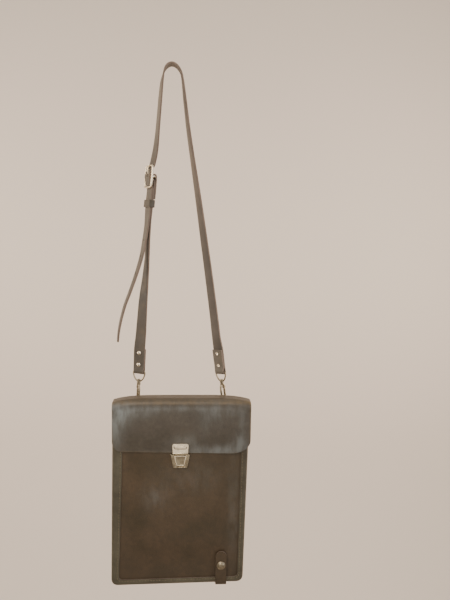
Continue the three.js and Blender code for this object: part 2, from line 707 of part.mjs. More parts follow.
function lockBase() {
  const k = LOCK;
  const top = k.baseTop + k.slotOver;
  const bottom = k.slotBottom;
  const whole = trapezoid(k.baseTop, k.baseBottom, k.baseWidth / 2, k.baseFoot / 2);
  const body = forward(whole, lockSeat, k.baseThickness + k.railRise);
  const channel = (inset, rise) => forward(
    trapezoid(top, bottom, lockHalf(top, inset), lockHalf(bottom, inset)),
    lockSeat - k.baseThickness,
    rise,
  );
  return cut(body, [channel(k.rail, k.lipFrom), channel(k.rail + k.railLip, k.railRise * 2)]);
}
put("lock_base", lockBase(), NICKEL, caseMatrix);

function lockSlide() {
  const k = LOCK;
  const part = (inset, trim, fromY, rise) => forward(
    trapezoid(
      k.slideTop - trim,
      k.slideBottom + trim,
      lockHalf(k.slideTop - trim, k.rail + inset),
      lockHalf(k.slideBottom + trim, k.rail + inset),
    ),
    fromY,
    rise,
  );
  const wings = part(k.wingInset, 0, slideSeat, k.wingRise);
  const block = part(k.blockInset, 0, slideSeat - k.wingRise / 2, k.slideRise - k.wingRise / 2);
  const dishFloor = slideSeat - k.slideRise + k.recess;
  const dish = part(k.blockInset + k.rimWidth, k.rimWidth, dishFloor, k.recess * 3);
  return cut(join(wings, block), [dish]);
}
put("lock_slide", lockSlide(), NICKEL, caseMatrix);

// Ring tabs, rings and rivets on the back

function caseRing(x) {
  const r = RING;
  const up = new THREE.Vector3(0, r.topY - r.barY, r.topZ - r.barZ);
  const height = up.length();
  up.normalize();
  const at = (across, rise) => new THREE.Vector3(x + across, r.barY, r.barZ).addScaledVector(up, rise);
  const arc = height - r.halfWidth;
  const bow = [0, 30, 60, 90, 120, 150, 180].map((angle) => at(
    r.halfWidth * Math.cos(degrees(angle)),
    arc + r.halfWidth * Math.sin(degrees(angle)),
  ));
  const foot = r.halfWidth - 1;
  const points = [at(-foot, 0), at(0, 0), at(foot, 0), at(r.halfWidth, 1), ...bow, at(-r.halfWidth, 1)];
  return rod(points, r.wire, 24, 6, true);
}

for (const hanger of HANGERS) {
  const folded = 2 * RING_TAB.thickness + 2 * GAP;
  const grip = (BACK.thickness + folded) / 2 + GAP;
  const middle = new THREE.Vector3(hanger.x, folded - grip + GAP, RING_TAB.rivetZ);
  const hole = bar(
    middle.clone().addScaledVector(frontAxis, 9),
    middle.clone().addScaledVector(backAxis, 9),
    STRAP_RIVET.shankRadius + GAP,
    10,
  );
  const strip = sideStrip(RING_TAB_ROUTE, hanger.x, RING_TAB.thickness, 2);
  put(`ring_tab_${hanger.side}`, cut(strip, [hole]), LEATHER, caseMatrix);
  put(`case_ring_${hanger.side}`, caseRing(hanger.x), NICKEL, caseMatrix);
  put(`ring_rivet_${hanger.side}`, rivet(middle, backAxis, grip), NICKEL, caseMatrix);
}

// Strap loops, hooks and gates, each built upright and then leaned and turned into place

function hangerMatrix(hanger, turn) {
  const place = new THREE.Euler(0, degrees(hanger.lean), degrees(turn), "YXZ");
  const at = new THREE.Vector3(CASE.x + hanger.x, CASE.y + HANGER.hookY, CASE.z + HANGER.hookZ);
  return new THREE.Matrix4().makeRotationFromEuler(place).setPosition(at);
}

function strapLoop() {
  const route = LOOP_ROUTE.map((row) => new THREE.Vector3(row.x, 0, HANGER.length + row.z));
  const wire = rod(route, LOOP.wire, 26, 6, false);
  const top = new THREE.Vector3(0, 0, HANGER.length + LOOP.collarTop);
  const bottom = new THREE.Vector3(0, 0, HANGER.length + LOOP.collarBottom);
  const collar = bar(top, bottom, LOOP.collarRadius, 12);
  const bore = bar(top.clone().setZ(top.z + 3), bottom.clone().setZ(bottom.z - 3), LOOP.collarBore, 10);
  return cut(join(wire, collar), [bore]);
}

function hookBody() {
  const h = HOOK;
  const point = (x, z) => new THREE.Vector3(x, 0, z);
  const route = HOOK_ROUTE.map((row) => point(row.x, row.z));
  const collarTop = HANGER.length + LOOP.collarTop + GAP;
  const collarBottom = HANGER.length + LOOP.collarBottom - GAP;
  const headTop = collarTop + h.headRise;
  const bow = rod(route, h.wire, 22, 6, false);
  const post = bar(point(0, h.postFoot), point(0, headTop), h.postRadius, 8);
  const head = bar(point(0, collarTop), point(0, headTop), h.headRadius, 10);
  const shoulder = bar(point(0, collarBottom - h.shoulderDrop), point(0, collarBottom), h.shoulderRadius, 10);
  const pivot = (y) => new THREE.Vector3(h.pivotX, y, h.pivotZ);
  const crown = (y) => new THREE.Vector3(h.yokeX, y, h.yokeZ);
  const inner = h.knuckleHalf + GAP;
  const outer = inner + h.earHalf;
  const middle = inner + h.earHalf / 2;
  const ears = [-1, 1].map((sign) => join(
    bar(pivot(sign * inner), pivot(sign * outer), h.knuckleRadius, 8),
    bar(crown(sign * middle), pivot(sign * middle), h.earHalf * 0.62, 5),
  ));
  const pin = bar(pivot(-middle), pivot(middle), h.pinRadius, 8);
  const yoke = bar(crown(-outer), crown(outer), h.yokeRadius, 6);
  return join(bow, post, head, shoulder, yoke, pin, ...ears);
}

function hookGate() {
  const h = HOOK;
  const g = GATE;
  const pivot = (y) => new THREE.Vector3(h.pivotX, y, h.pivotZ);
  const blade = (reach, z) => new THREE.Vector3(h.pivotX + reach, 0, z);
  const knuckle = bar(pivot(-h.knuckleHalf), pivot(h.knuckleHalf), h.knuckleRadius, 10);
  const slab = (width, low, high) => new THREE.BoxGeometry(g.thickness, width, high - low)
    .translate(h.pivotX, 0, (low + high) / 2);
  const leaf = slab(g.width, g.end, g.top);
  const neck = slab(2 * h.knuckleHalf, g.top - 1, h.pivotZ - h.pinRadius);
  const thumb = bar(blade(0, g.thumbZ), blade(g.thumbReach, g.thumbZ + g.thumbRise), g.thumbRadius, 8);
  const bore = bar(pivot(-2 * h.knuckleHalf), pivot(2 * h.knuckleHalf), h.pinRadius + GAP, 8);
  return cut(join(knuckle, neck, leaf, thumb), [bore]);
}

for (const hanger of HANGERS) {
  put(`strap_loop_${hanger.side}`, strapLoop(), NICKEL, hangerMatrix(hanger, hanger.loopTurn));
  put(`snap_hook_${hanger.side}`, hookBody(), NICKEL, hangerMatrix(hanger, hanger.hookTurn));
  put(`hook_gate_${hanger.side}`, hookGate(), NICKEL, hangerMatrix(hanger, hanger.hookTurn));
}

// Straps

function acrossAt(turn) {
  return new THREE.Vector3(Math.sin(degrees(turn)), -Math.cos(degrees(turn)), 0);
}

function routeStations(rows) {
  return rows.map((row) => ({
    at: new THREE.Vector3(row.x, row.y, row.z),
    across: acrossAt(row.turn),
    width: row.width ?? STRAP.width,
  }));
}

// Axes of a strap end: the bar it folds round, along the strap, across it and outward
function endAxes(hanger) {
  const matrix = hangerMatrix(hanger, hanger.loopTurn);
  const across = new THREE.Vector3();
  const side = new THREE.Vector3();
  const along = new THREE.Vector3();
  matrix.extractBasis(across, side, along);
  return {
    origin: new THREE.Vector3(0, 0, HANGER.length).applyMatrix4(matrix),
    along,
    across,
    out: side.multiplyScalar(hanger.outward),
  };
}

function buckleAxes() {
  const lean = degrees(BUCKLE.lean);
  const along = new THREE.Vector3(Math.sin(lean), 0, Math.cos(lean));
  const across = acrossAt(BUCKLE.turn);
  across.addScaledVector(along, -across.dot(along)).normalize();
  const out = new THREE.Vector3().crossVectors(across, along);
  return { origin: new THREE.Vector3(BUCKLE.x, BUCKLE.y, BUCKLE.z), along, across, out };
}

function spot(axes, across, n, u) {
  return axes.origin.clone()
    .addScaledVector(axes.across, across)
    .addScaledVector(axes.out, n)
    .addScaledVector(axes.along, u);
}

function axesStations(axes, rows) {
  return rows.map((row) => ({
    at: spot(axes, 0, row.n, row.u),
    across: axes.across,
    width: row.width ?? STRAP.width,
  }));
}

// Box cut square to a set of axes
function slotBox(axes, acrossHalf, nLow, nHigh, uLow, uHigh) {
  const box = new THREE.BoxGeometry(2 * acrossHalf, nHigh - nLow, uHigh - uLow);
  const basis = new THREE.Matrix4().makeBasis(axes.across, axes.out, axes.along.clone());
  if (basis.determinant() < 0) basis.makeBasis(axes.across.clone().negate(), axes.out, axes.along);
  basis.setPosition(spot(axes, 0, (nLow + nHigh) / 2, (uLow + uHigh) / 2));
  return box.applyMatrix4(basis);
}

const [leftEnd, rightEnd] = HANGERS.map(endAxes);
const buckle = buckleAxes();
const endGrip = STRAP.thickness + GAP / 2 + GAP;
const rivetHoles = (axes) => [STRAP_RIVET.low, STRAP_RIVET.high].map((u) => bar(
  spot(axes, 0, -8, u), spot(axes, 0, 8, u), STRAP_RIVET.shankRadius + GAP, 8));

const longStations = [
  ...axesStations(rightEnd, [...END_FOLD].reverse()),
  ...routeStations(RIGHT_LEG),
  ...routeStations(ARCH),
  ...routeStations(LEFT_LEG),
  ...axesStations(buckle, WEAVE),
  ...routeStations(TAIL),
];
const tailStations = routeStations(TAIL);
const tailHoles = tailStations.slice(1, 1 + TAIL_HOLES.count).map((station, i) => {
  const ahead = tailStations[i + 2].at.clone().sub(tailStations[i].at).normalize();
  const out = new THREE.Vector3().crossVectors(ahead, station.across).normalize();
  out.multiplyScalar(2 * STRAP.thickness);
  return bar(station.at.clone().sub(out), station.at.clone().add(out), TAIL_HOLES.radius, 8);
});
const prongHole = slotBox(buckle, BUCKLE.holeHalf, 0.6, 9, BUCKLE.holeLow, BUCKLE.holeHigh);
const longCuts = [...rivetHoles(rightEnd), ...tailHoles, prongHole];
put("long_strap", cut(ribbon(longStations, STRAP.thickness, 2), longCuts), STRAP_LEATHER);

const shortStations = [
  ...axesStations(buckle, BUCKLE_FOLD),
  ...routeStations(SHORT_LEG),
  ...axesStations(leftEnd, END_FOLD),
];
const prongSlot = slotBox(buckle, BUCKLE.slotHalf, -4.6, 4.8, -4.4, 4.8);
const shortCuts = [...rivetHoles(leftEnd), prongSlot];
put("short_strap", cut(ribbon(shortStations, STRAP.thickness, 2), shortCuts), STRAP_LEATHER);

for (const [hanger, axes] of [[HANGERS[0], leftEnd], [HANGERS[1], rightEnd]]) {
  for (const level of ["low", "high"]) {
    const head = rivet(spot(axes, 0, 0, STRAP_RIVET[level]), axes.out, endGrip);
    put(`strap_rivet_${hanger.side}_${level}`, head, NICKEL);
  }
}

// Buckle, prong and keeper

function buckleFrame() {
  const b = BUCKLE;
  const power = (value) => Math.sign(value) * Math.abs(value) ** b.square;
  const points = Array.from({ length: 28 }, (_, i) => {
    const angle = ((i + 0.5) / 28) * Math.PI * 2;
    const u = b.halfLength * power(Math.sin(angle));
    return spot(buckle, b.halfWidth * power(Math.cos(angle)), b.lift, u);
  });
  const half = (side) => BUCKLE_BAR.map((row) => spot(buckle, side * row.across, row.n, 0));
  const middle = rod([...half(-1), ...half(1).reverse()], b.wire, 12, 6, false);
  return join(rod(points, b.wire, 30, 6, true), middle);
}
put("buckle_frame", buckleFrame(), NICKEL);

function buckleProng() {
  const eyePoints = Array.from({ length: 12 }, (_, i) => {
    const angle = (i / 12) * Math.PI * 2;
    return spot(buckle, 0, PRONG.eyeRadius * Math.cos(angle), PRONG.eyeRadius * Math.sin(angle));
  });
  const eye = rod(eyePoints, PRONG.wire, 12, 6, true);
  const shank = rod(PRONG_ROUTE.map((row) => spot(buckle, 0, row.n, row.u)), PRONG.wire, 10, 6, false);
  return join(eye, shank);
}
put("buckle_prong", buckleProng(), NICKEL);

function keeper() {
  const k = KEEPER;
  const loop = (extra) => {
    const w = k.halfWidth + extra;
    const low = k.back - extra;
    const high = k.front + extra;
    const r = 0.7 + extra * 0.8;
    return [
      [w, low + r], [w, high - r], [w - r, high], [0, high], [r - w, high],
      [-w, high - r], [-w, low + r], [r - w, low], [0, low], [w - r, low],
    ];
  };
  const inside = loop(0);
  const outside = loop(k.thickness);
  const half = k.height / 2;
  const rings = inside.map(([w, n], i) => {
    const [ow, on] = outside[i];
    return [
      spot(buckle, w, n, k.u - half), spot(buckle, ow, on, k.u - half),
      spot(buckle, ow, on, k.u + half), spot(buckle, w, n, k.u + half),
    ];
  });
  return skin(rings, [], true);
}
put("keeper", keeper(), STRAP_LEATHER);

export default model;
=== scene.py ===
"""Leather map case hanging by its shoulder strap, finished around the packed frame."""

import math
from types import SimpleNamespace as Row

import bpy
from bpy.props import FloatProperty, FloatVectorProperty, IntProperty, PointerProperty
from mathutils import Matrix, Vector, noise


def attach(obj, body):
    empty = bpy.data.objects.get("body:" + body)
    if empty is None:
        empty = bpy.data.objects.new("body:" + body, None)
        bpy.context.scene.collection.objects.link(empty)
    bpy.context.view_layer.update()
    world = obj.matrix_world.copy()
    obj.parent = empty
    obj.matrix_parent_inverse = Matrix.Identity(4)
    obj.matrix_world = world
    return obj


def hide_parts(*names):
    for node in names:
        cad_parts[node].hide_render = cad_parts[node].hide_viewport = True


bl_info = {
    "name": "Leather map case",
    "version": (1, 0, 0),
    "blender": (4, 5, 0),
    "location": "3D View > Sidebar > Map case",
    "description": "Builds a leather map case and its shoulder strap around the packed frame",
    "category": "Object",
}

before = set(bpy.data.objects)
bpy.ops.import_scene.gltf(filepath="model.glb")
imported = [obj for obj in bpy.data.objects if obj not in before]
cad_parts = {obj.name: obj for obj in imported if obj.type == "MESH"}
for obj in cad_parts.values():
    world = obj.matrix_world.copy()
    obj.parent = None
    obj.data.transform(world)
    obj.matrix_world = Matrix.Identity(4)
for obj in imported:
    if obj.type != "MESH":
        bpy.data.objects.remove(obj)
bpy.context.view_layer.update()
MM = 0.001


def table(columns, *rows):
    """Table with named columns, in which a row may leave out its last ones."""
    return [Row(**dict(zip(columns.split(), row))) for row in rows]


# Sizes in millimetres, as in the part's source.
# The pouch has its own zero point: the middle of its top, on the plane of its back.
POUCH_ZERO = Vector((17, -8, -498))
DEPTH = 28
CORNER_RADIUS = 11
TOP_LEFT = Vector((-101.4, 0))
BOTTOM_LEFT = Vector((-103.4, -290))
BOTTOM_RIGHT = Vector((98.8, -288))
TOP_RIGHT = Vector((105.4, 0))
# Gap between pieces, and the radius at which a turned piece closes
GAP = 0.3
TIP = 0.05

BACK_THICKNESS = 2
GUSSET = Row(thickness=1.8, top=-13, roll=4, back_lap=9.5)
BORDER = Row(left_top=17, left_low=11.5, bottom=9.6, right_low=8.6, right_top=11.5, radius=6)
PANEL = Row(thickness=2, top=-15, inset=4.4, radius=8, swell=2.9, wide_steps=64, tall_steps=84)
SWELL = Row(side_from=80, side_to=48, top_from=-22, top_to=-62, low_from=-264, low_to=-214)
DENTS = Row(depth=0.22, size=38, side_from=84, side_to=60, low_from=-278, low_to=-255)
PANEL_FACE = -DEPTH + GUSSET.thickness + GAP

FLAP = Row(
    thickness=2.2, x=2.5, half_width=104.3, lap=19, back_radius=5, front_radius=7, drop=80, skew=0.022,
    sag=6.5, sag_from=-48, sag_to=-4, edge_wrap=1.1, wrap_from=0.9, swell=2.4, flat_near=14, flat_far=40,
    dent=0.35, dent_wide=24, dent_tall=40, dent_layer=3.7, wide_steps=44, tall_steps=34, front_share=0.12,
    bloom_from=22, bloom_to=29, left_corner=Row(wide=15, tall=15), right_corner=Row(wide=30, tall=20),
)
FLAP_FACE = -DEPTH - 4 * GAP
STITCHES = Row(
    slant=7, corner=8, border_in=2.4, border_top=-19, back_in=6, back_top=-26, lap_in=6, lap_rise=3.5,
)

# Lock: the groove is a dull groove that paints the shadow under the plate's bar; the last three are depths
# below the front of a part, between which its faces are dull
LOCK = Row(
    x=0.6, z=-73.75, plate=1.2, bar_z=-70.8, bar_reach=6.9, bar_half=2.1, groove=0.75, groove_out=0.45,
    hollow_from=0.25, sunk_from=0.4, sunk_to=1.2,
)

TAB = Row(x=64.6, width=16.8, thickness=2.2, face=-30.5, end=-244.6)
TAB_ROUTE = table(
    "y z",
    (1.4, -256), (1.4, -270), (1.5, -285), (1.2, -289.1), (-0.3, -290.7), (-5, -291), (-23, -291),
    (-28, -289.4), (-29.9, -284.5), (-30.4, -264),
)
STUD = Row(
    z=-258.5, cap=6.6, cap_lift=0.1, cap_foot=0.96, cap_ease=0.25, cap_rim=0.7, cap_rise=3, post=1.8,
    socket=5, washer=4.5, washer_rise=0.8,
)
# Dome of the stud's cap, in shares of its radius and its rise
STUD_DOME = table(
    "wide tall",
    (0.96, 0.3), (0.88, 0.36), (0.8, 0.42), (0.74, 0.62), (0.6, 0.82), (0.4, 0.95), (0.15, 1), (0.01, 1),
)

RING = Row(wire=1.2, half_width=8.5, bar_y=4, bar_z=-25, top_y=9.5, top_z=-10.1, corner=1)
RING_TAB = Row(width=14, thickness=2, rivet_z=-50)
RING_TAB_ROUTE = table(
    "y z",
    (1.3, -60), (1.3, -46), (1.3, -34), (1.5, -25.5), (2.23, -23.23), (4, -22.5), (5.77, -23.23),
    (6.5, -25.2), (5.6, -30), (3.6, -38), (3.6, -46), (3.6, -60),
)

HANGER = Row(y=9.5, z=-13, length=49)
HANGERS = table(
    "side x lean loop_turn hook_turn outward",
    ("left", -66, 2, -24, 107, -1),
    ("right", 68.5, -7.8, -45, 52, 1),
)
LOOP = Row(wire=1.1, collar=3, bore=1.75, collar_top=-14, collar_low=-17.6, bore_top=-8, bore_low=-25)
# Half of a strap loop, from its collar up to its bar
LOOP_HALF = table("x z", (1.9, -15.4), (5.6, -12.8), (8.2, -8.6), (9.7, -3.4), (9.5, -0.7), (8.4, 0))
HOOK = Row(
    wire=1.7, post=1.3, post_foot=28, shoulder=2.9, shoulder_drop=3, shoulder_ease=0.5, shoulder_foot=0.6,
    pivot_x=4.3, pivot_z=23.6, pin=0.7, knuckle=1.9, knuckle_half=1.1, ear=0.8, ear_ease=0.2, arm=0.5,
    yoke_x=2.6, yoke_z=27.4, yoke=1.1,
)
# Head of a hook's post, above its collar
HOOK_HEAD = table("radius rise", (2.5, 0), (2.5, 0.9), (2, 1.5), (1, 1.8), (TIP, 1.8))
HOOK_ROUTE = table(
    "x z",
    (2.9, 27.2), (0, 28.8), (-3, 27.4), (-4.3, 24), (-4.4, 14), (-4.3, 4.4), (-3.1, 0.7), (0, -0.7),
    (3.1, 0.7), (4.3, 4.4), (4.3, 8.4),
)
GATE = Row(
    end=9.4, top=20.9, width=3.8, thickness=1.6, edge=0.5, neck_overlap=1, thumb=0.9, thumb_tip=0.54,
    thumb_z=13.4, thumb_reach=2.2, thumb_rise=0.6, thumb_ease=0.3,
)

STRAP = Row(width=18.5, thickness=2.4)
RIVET = Row(
    low=10.8, high=29.3, head=3.2, rim=0.15, dome=1.6, shank=1.2, back=2.6, back_rim=0.1, back_rise=0.7,
)
# Dished back of a rivet, in shares of its radius and its rise
RIVET_BACK = table("wide tall", (0.35, 0.5), (0.6, 1), (0.92, 1))
# Strap routes: places, and the turn of the outer face away from the side
RIGHT_LEG = table(
    "x y z turn",
    (71.6, 1.2, -408, 37), (68.2, 1, -381, 35), (59.6, 0.6, -319, 32), (50.6, 0.3, -258, 28),
    (41.6, 0, -198, 22), (32, 0, -138, 15), (25.2, 0, -94, 12), (18.9, 0, -45, 8), (15.7, 0, -20, 3),
)
ARCH = table(
    "x y z turn",
    (13.6, 0, -11, 0), (10.2, 0, -5, 0), (5.4, 0, -0.5, 0), (0, 0, 1.2, 0), (-5.2, 0, -0.4, 0),
    (-9.4, 0, -4.6, 2), (-12.3, 0, -11.5, 6),
)
LEFT_LEG = table(
    "x y z turn",
    (-14.6, 0, -23, 12), (-16.9, 0, -47, 15), (-20.7, 0, -95, 17), (-23.4, 0, -122, 23),
)
TAIL = table(
    "x y z turn width",
    (-36.2, -3.4, -238, 21), (-39.4, -5.4, -260, 19), (-43.6, -7.6, -284, 17), (-51.2, -10.6, -311, 15),
    (-59.6, -13.4, -336, 13), (-67.6, -15.4, -358, 12), (-73.6, -16.6, -381, 11), (-76.2, -17, -395, 10),
    (-77.2, -17.1, -402.5, 10, 17), (-77.7, -17.1, -409, 10, 12.6), (-77.9, -17.1, -413.2, 10, 5),
)
TAIL_HOLES = Row(radius=1.8, first=1, count=4)
SHORT_LEG = table(
    "x y z turn",
    (-33.2, 0.2, -232, 20), (-34.7, 0.4, -259, 20), (-36, 0.6, -290, 22), (-38.4, 0.8, -320, 31),
    (-41.4, 1, -351, 44), (-43.4, 1.2, -382, 52), (-44.9, 1.4, -406, 58),
)
# Strap ends: n is outward from the bar that they fold round, u is along the strap
END_FOLD = table(
    "n u width",
    (1.35, 36), (1.35, 22), (1.38, 7.6, 18), (2.5, 1.2, 16.4), (2, -1.75, 16.4), (0, -2.65, 16.4),
    (-2, -1.75, 16.4), (-2.5, 1.2, 16.4), (-1.38, 7.6, 18), (-1.35, 22), (-1.35, 35),
)
BUCKLE = Row(
    place=Vector((-28.6, 0, -165)), lean=5, turn=26, wire=1.5, half_width=12.6, half_length=15.9, lift=5.4,
    square=0.25, steps=28,
)
# Half of the buckle's middle bar, from the rim's side down to the strap
BUCKLE_BAR = table("across n", (12.6, 4.9), (12.3, 2.3), (10.8, 0.4), (8.4, 0))
BUCKLE_FOLD = table(
    "n u",
    (-3.6, -33), (-3.6, -20), (-3.5, -10), (-3.1, -1.5), (-2.2, 2.2), (0, 3.15), (2.2, 2.2), (3.05, -0.6),
    (0.8, -5), (-0.8, -10), (-0.9, -22), (-0.9, -46),
)
WEAVE = table(
    "n u",
    (-0.6, 32), (0.6, 23), (1.8, 16.5), (5.4, 8.5), (7.2, 0), (5.5, -8.5), (1.9, -16.5), (1.8, -24),
    (1.8, -38), (1.8, -48),
)
PRONG = Row(wire=0.9, eye=2.75)
PRONG_ROUTE = table("n u", (2.7, 0.4), (5, 2), (7.2, 6), (8, 11), (7.8, 17.6))
PRONG_HOLE = Row(half=2, n_low=0.6, n_high=9, u_low=-1.5, u_high=9.5)
PRONG_SLOT = Row(half=1.5, n_low=-4.6, n_high=4.8, u_low=-4.4, u_high=4.8)
KEEPER = Row(u=-40, height=11, thickness=1.8, back=-2.4, front=3.7, half_width=9.7, corner=2.1)

# Places across a strip from edge to edge, in shares of its half width
STRIP_SHARES = (1, 0.94, 0.6, 0.2, -0.2, -0.6, -0.94, -1)
# Shares of depth in a face's normal: a rim has less than the first, a front has more than the second
RIM_SHARE = 0.5
FRONT_SHARE = 0.9
# Angles in degrees: shading is smooth below the first, edges are rounded above the second,
# and faces that meet at less than the third are one flat face
SMOOTH_ANGLE = 42
ROUNDED_ANGLE = 50
FLAT_ANGLE = 1
# How close points are joined, in a new shape and in a copy of a plain solid
NEW_REACH = 0.002
COPY_REACH = 0.01

# Dull bloom on the leather, partly a painted sheen: where it lies on the pouch, how far it reaches and how
# strong it is
FLAP_BLOOM_AND_SHEEN = table(
    "x z wide tall strength",
    (-93, -24, 18, 20, 0.8), (-97, -52, 10, 24, 0.45), (-70, -17, 30, 9, 0.45), (-10, -12, 60, 6, 0.3),
    (46, -26, 22, 24, 0.22), (66, -16, 26, 10, 0.24), (92, -34, 9, 28, 0.22), (90, -64, 14, 14, 0.45),
    (56, -77, 44, 8, 0.6), (8, -62, 20, 12, 0.3), (-30, -82, 60, 5, 0.2),
)
PANEL_BLOOM_AND_SHEEN = table(
    "x z wide tall strength",
    (-38, -150, 20, 18, 0.2), (20, -120, 44, 22, 0.12), (84, -170, 9, 70, 0.16),
)
# Painted shade on the straps, round the buckle and where the short strap turns
STRAP_PAINTED_SHADE = table("x z wide tall strength", (-43, 345, 25, 42, 0.42), (-58, 150, 18, 46, 0.55))
# Rubbed leather, partly a painted highlight: how strong it is on the fold, ridge, rims and hem of the flap,
# and how far it reaches
FLAP_WEAR_AND_HIGHLIGHT = Row(
    fold=0.2, fold_from=-11, fold_to=-3, ridge=0.4, ridge_z=-4, ridge_reach=2.4, ridge_from=18, ridge_to=26,
    rim=0.35, rim_reach=3, hem=0.3, hem_reach=2.5, hem_from=20, hem_to=26,
)
STRAP_WEAR = Row(strength=0.2, size=14, low=0.05, high=0.5)

# Painted shade lower down: the share of its colour that the leather keeps below the low mark, rising to all
# at the high mark
PANEL_LOW_SHADE = Row(share=0.77, low=-790, high=-600)
STRAP_LOW_SHADE = Row(share=0.72, low=-350, high=-150)
SHORT_LOW_SHADE = Row(share=0.57, low=-345, high=-240)
FLESH_LOW_SHADE = Row(share=0.4, low=-290, high=-110)
NO_LOW_SHADE = Row(share=1, low=-790, high=0)

# Sizes of the marks in the finishes: nap and rubs, like the grain, are coarser than real ones, to show
MARKS = Row(
    blotch=50, mottle=6, streak=(9, 12, 22), crease=12, patch=30, cut=1.2, nap=1.6, spot=5, rub=0.6, tone=16,
    cloud=1250,
)

# Stage: the picture's camera, a sweep of paper in millimetres, and lamps with places in metres
CAMERA = Row(place=Vector((21.3, -921.5, -269)), yaw=3.9, pitch=5.0, roll=0.87, lens=36, sensor=36, near=0.01)
SWEEP = Row(half=4500, near=-6200, floor=-2700, wall=2800, top=3300, bend=1200, steps=16)
ROOM = Row(colour="#e6ddd3", strength=0.55)
PART_AIM = Vector((0.01, -0.02, -0.5))
WALL_AIM = Vector((0, 2.8, -0.3))
WARM = "#fff4e8"
GLOW = "#ffead4"
LAMPS = table(
    "name at size watts colour aim",
    ("front", (-0.45, -1.6, 0.4), 1.2, 22.5, WARM, PART_AIM),
    ("top", (0.15, 0.1, 1.2), 1.2, 6, WARM, PART_AIM),
    ("side", (1.7, -1.0, -0.2), 1.4, 14, "#ebf0ff", PART_AIM),
    ("low", (0.05, -1.5, -1.0), 0.9, 2, WARM, PART_AIM),
    ("wall_left", (-1.9, 0.5, -0.2), 1.6, 66, GLOW, WALL_AIM),
    ("wall_right", (1.9, 0.5, -0.2), 1.6, 66, GLOW, WALL_AIM),
)


def linear(hex_colour):
    """Linear colour of an sRGB hex value."""
    shares = [int(hex_colour[i:i + 2], 16) / 255 for i in (1, 3, 5)]
    return tuple(s / 12.92 if s <= 0.04045 else ((s + 0.055) / 1.055) ** 2.4 for s in shares)


def smooth(value, low, high):
    """Eased share of the way from low to high."""
    share = min(max((value - low) / (high - low), 0), 1)
    return share * share * (3 - 2 * share)


def mix(low, high, share):
    """Value part of the way from low to high."""
    return low + (high - low) * share


def circle(radius, degrees):
    """Two coordinates of a place on a circle."""
    turn = math.radians(degrees)
    return radius * math.cos(turn), radius * math.sin(turn)


def on_pouch(x, y, z):
    """Place measured from the pouch's zero point."""
    return Vector((x, y, z)) + POUCH_ZERO


# Settings


def length_prop(name, description, millimetres):
    """Length property with its default in millimetres."""
    return FloatProperty(name=name, description=description, default=millimetres * MM, unit="LENGTH")


def colour_prop(name, description, hex_colour):
    """Colour property with an sRGB default."""
    return FloatVectorProperty(
        name=name, description=description, subtype="COLOR", size=3, min=0, max=1, default=linear(hex_colour),
    )


class MapCaseSizes(bpy.types.PropertyGroup):
    """Sizes of the surface detail."""

    grain: length_prop("Grain", "Width of one pebble of the grain", 1.1)
    leather_edge: length_prop("Leather edge", "Rounding of cut leather edges", 0.55)
    metal_edge: length_prop("Metal edge", "Rounding of pressed metal edges", 0.22)
    stitch_pitch: length_prop("Stitch pitch", "From one stitch to the next", 4.4)
    stitch_length: length_prop("Stitch length", "Length of one stitch", 3.3)
    thread: length_prop("Thread", "Thickness of the thread", 0.75)
    sides: IntProperty(name="Round sides", description="Sides of turned metal", default=28, min=8, max=64)


class MapCaseColours(bpy.types.PropertyGroup):
    """Colours of the finishes."""

    panel: colour_prop("Panel", "Front and back leather", "#4f3f2b")
    panel_shade: colour_prop("Panel shade", "Darker parts of the panels", "#413521")
    border: colour_prop("Border", "Folded border leather", "#544f3e")
    border_shade: colour_prop("Border shade", "Darker parts of the border", "#40392a")
    flap: colour_prop("Flap", "Flap leather", "#50493e")
    flap_shade: colour_prop("Flap shade", "Darker parts of the flap", "#433c31")
    strap: colour_prop("Strap", "Grain side of the strap", "#6f675b")
    strap_shade: colour_prop("Strap shade", "Darker parts of the strap", "#5d554a")
    flesh: colour_prop("Flesh side", "Rough inner side of the leather", "#776c60")
    raw_edge: colour_prop("Raw edge", "Cut edge of the leather", "#746457")
    # Worn leather is also the colour of the painted highlight on the flap's fold and rims
    worn: colour_prop("Worn leather", "Rubbed folds and rims", "#756140")
    # The bloom colour also paints the sheen of reflected light on the flap and panel
    bloom: colour_prop("Bloom", "Dull grey bloom on the leather", "#7b7f7c")
    nickel: colour_prop("Nickel", "Plated metal", "#f0e3c9")
    tarnish: colour_prop("Tarnish", "Dull spots on the metal", "#8d7f63")
    dull_nickel: colour_prop("Dull nickel", "Plated metal that has lost its polish", "#9e937d")
    dull_tarnish: colour_prop("Dull tarnish", "Dark spots on the dull metal", "#665b47")
    thread: colour_prop("Thread", "Waxed thread", "#75694f")
    backdrop: colour_prop("Backdrop", "Floor and wall of the stage", "#ddd4cb")


def detail():
    """Sizes of the surface detail in this scene."""
    return bpy.context.scene.map_case_sizes


# Finishes


def join(tree, made, inputs):
    """Links or sets the inputs of a node."""
    for name, value in inputs.items():
        if isinstance(value, bpy.types.NodeSocket):
            tree.links.new(value, made.inputs[name])
        else:
            made.inputs[name].default_value = value


def node(tree, kind, inputs, output=0, **settings):
    """Adds a node with its settings and links, and gives one of its outputs.

    In a map range, input 0 is the value, 1 and 2 are its range, and 3 and 4 the range it is carried to.
    In a colour mix, input 0 is the share, and 6 and 7 are the colours.
    """
    made = tree.nodes.new(kind)
    for name, value in settings.items():
        setattr(made, name, value)
    join(tree, made, inputs)
    return made.outputs[output]


def per_metre(size):
    """Number of marks of a size in millimetres that fit in a metre."""
    return 1 / (size * MM)


def low_shade_share(tree, place, low_shade):
    """Share of the colour that is left at each height, under the painted shade lower down."""
    height = node(tree, "ShaderNodeSeparateXYZ", {"Vector": place}, "Z")
    marks = {0: height, 1: low_shade.low * MM, 2: low_shade.high * MM, 3: low_shade.share, 4: 1}
    return node(tree, "ShaderNodeMapRange", marks, interpolation_type="SMOOTHSTEP")


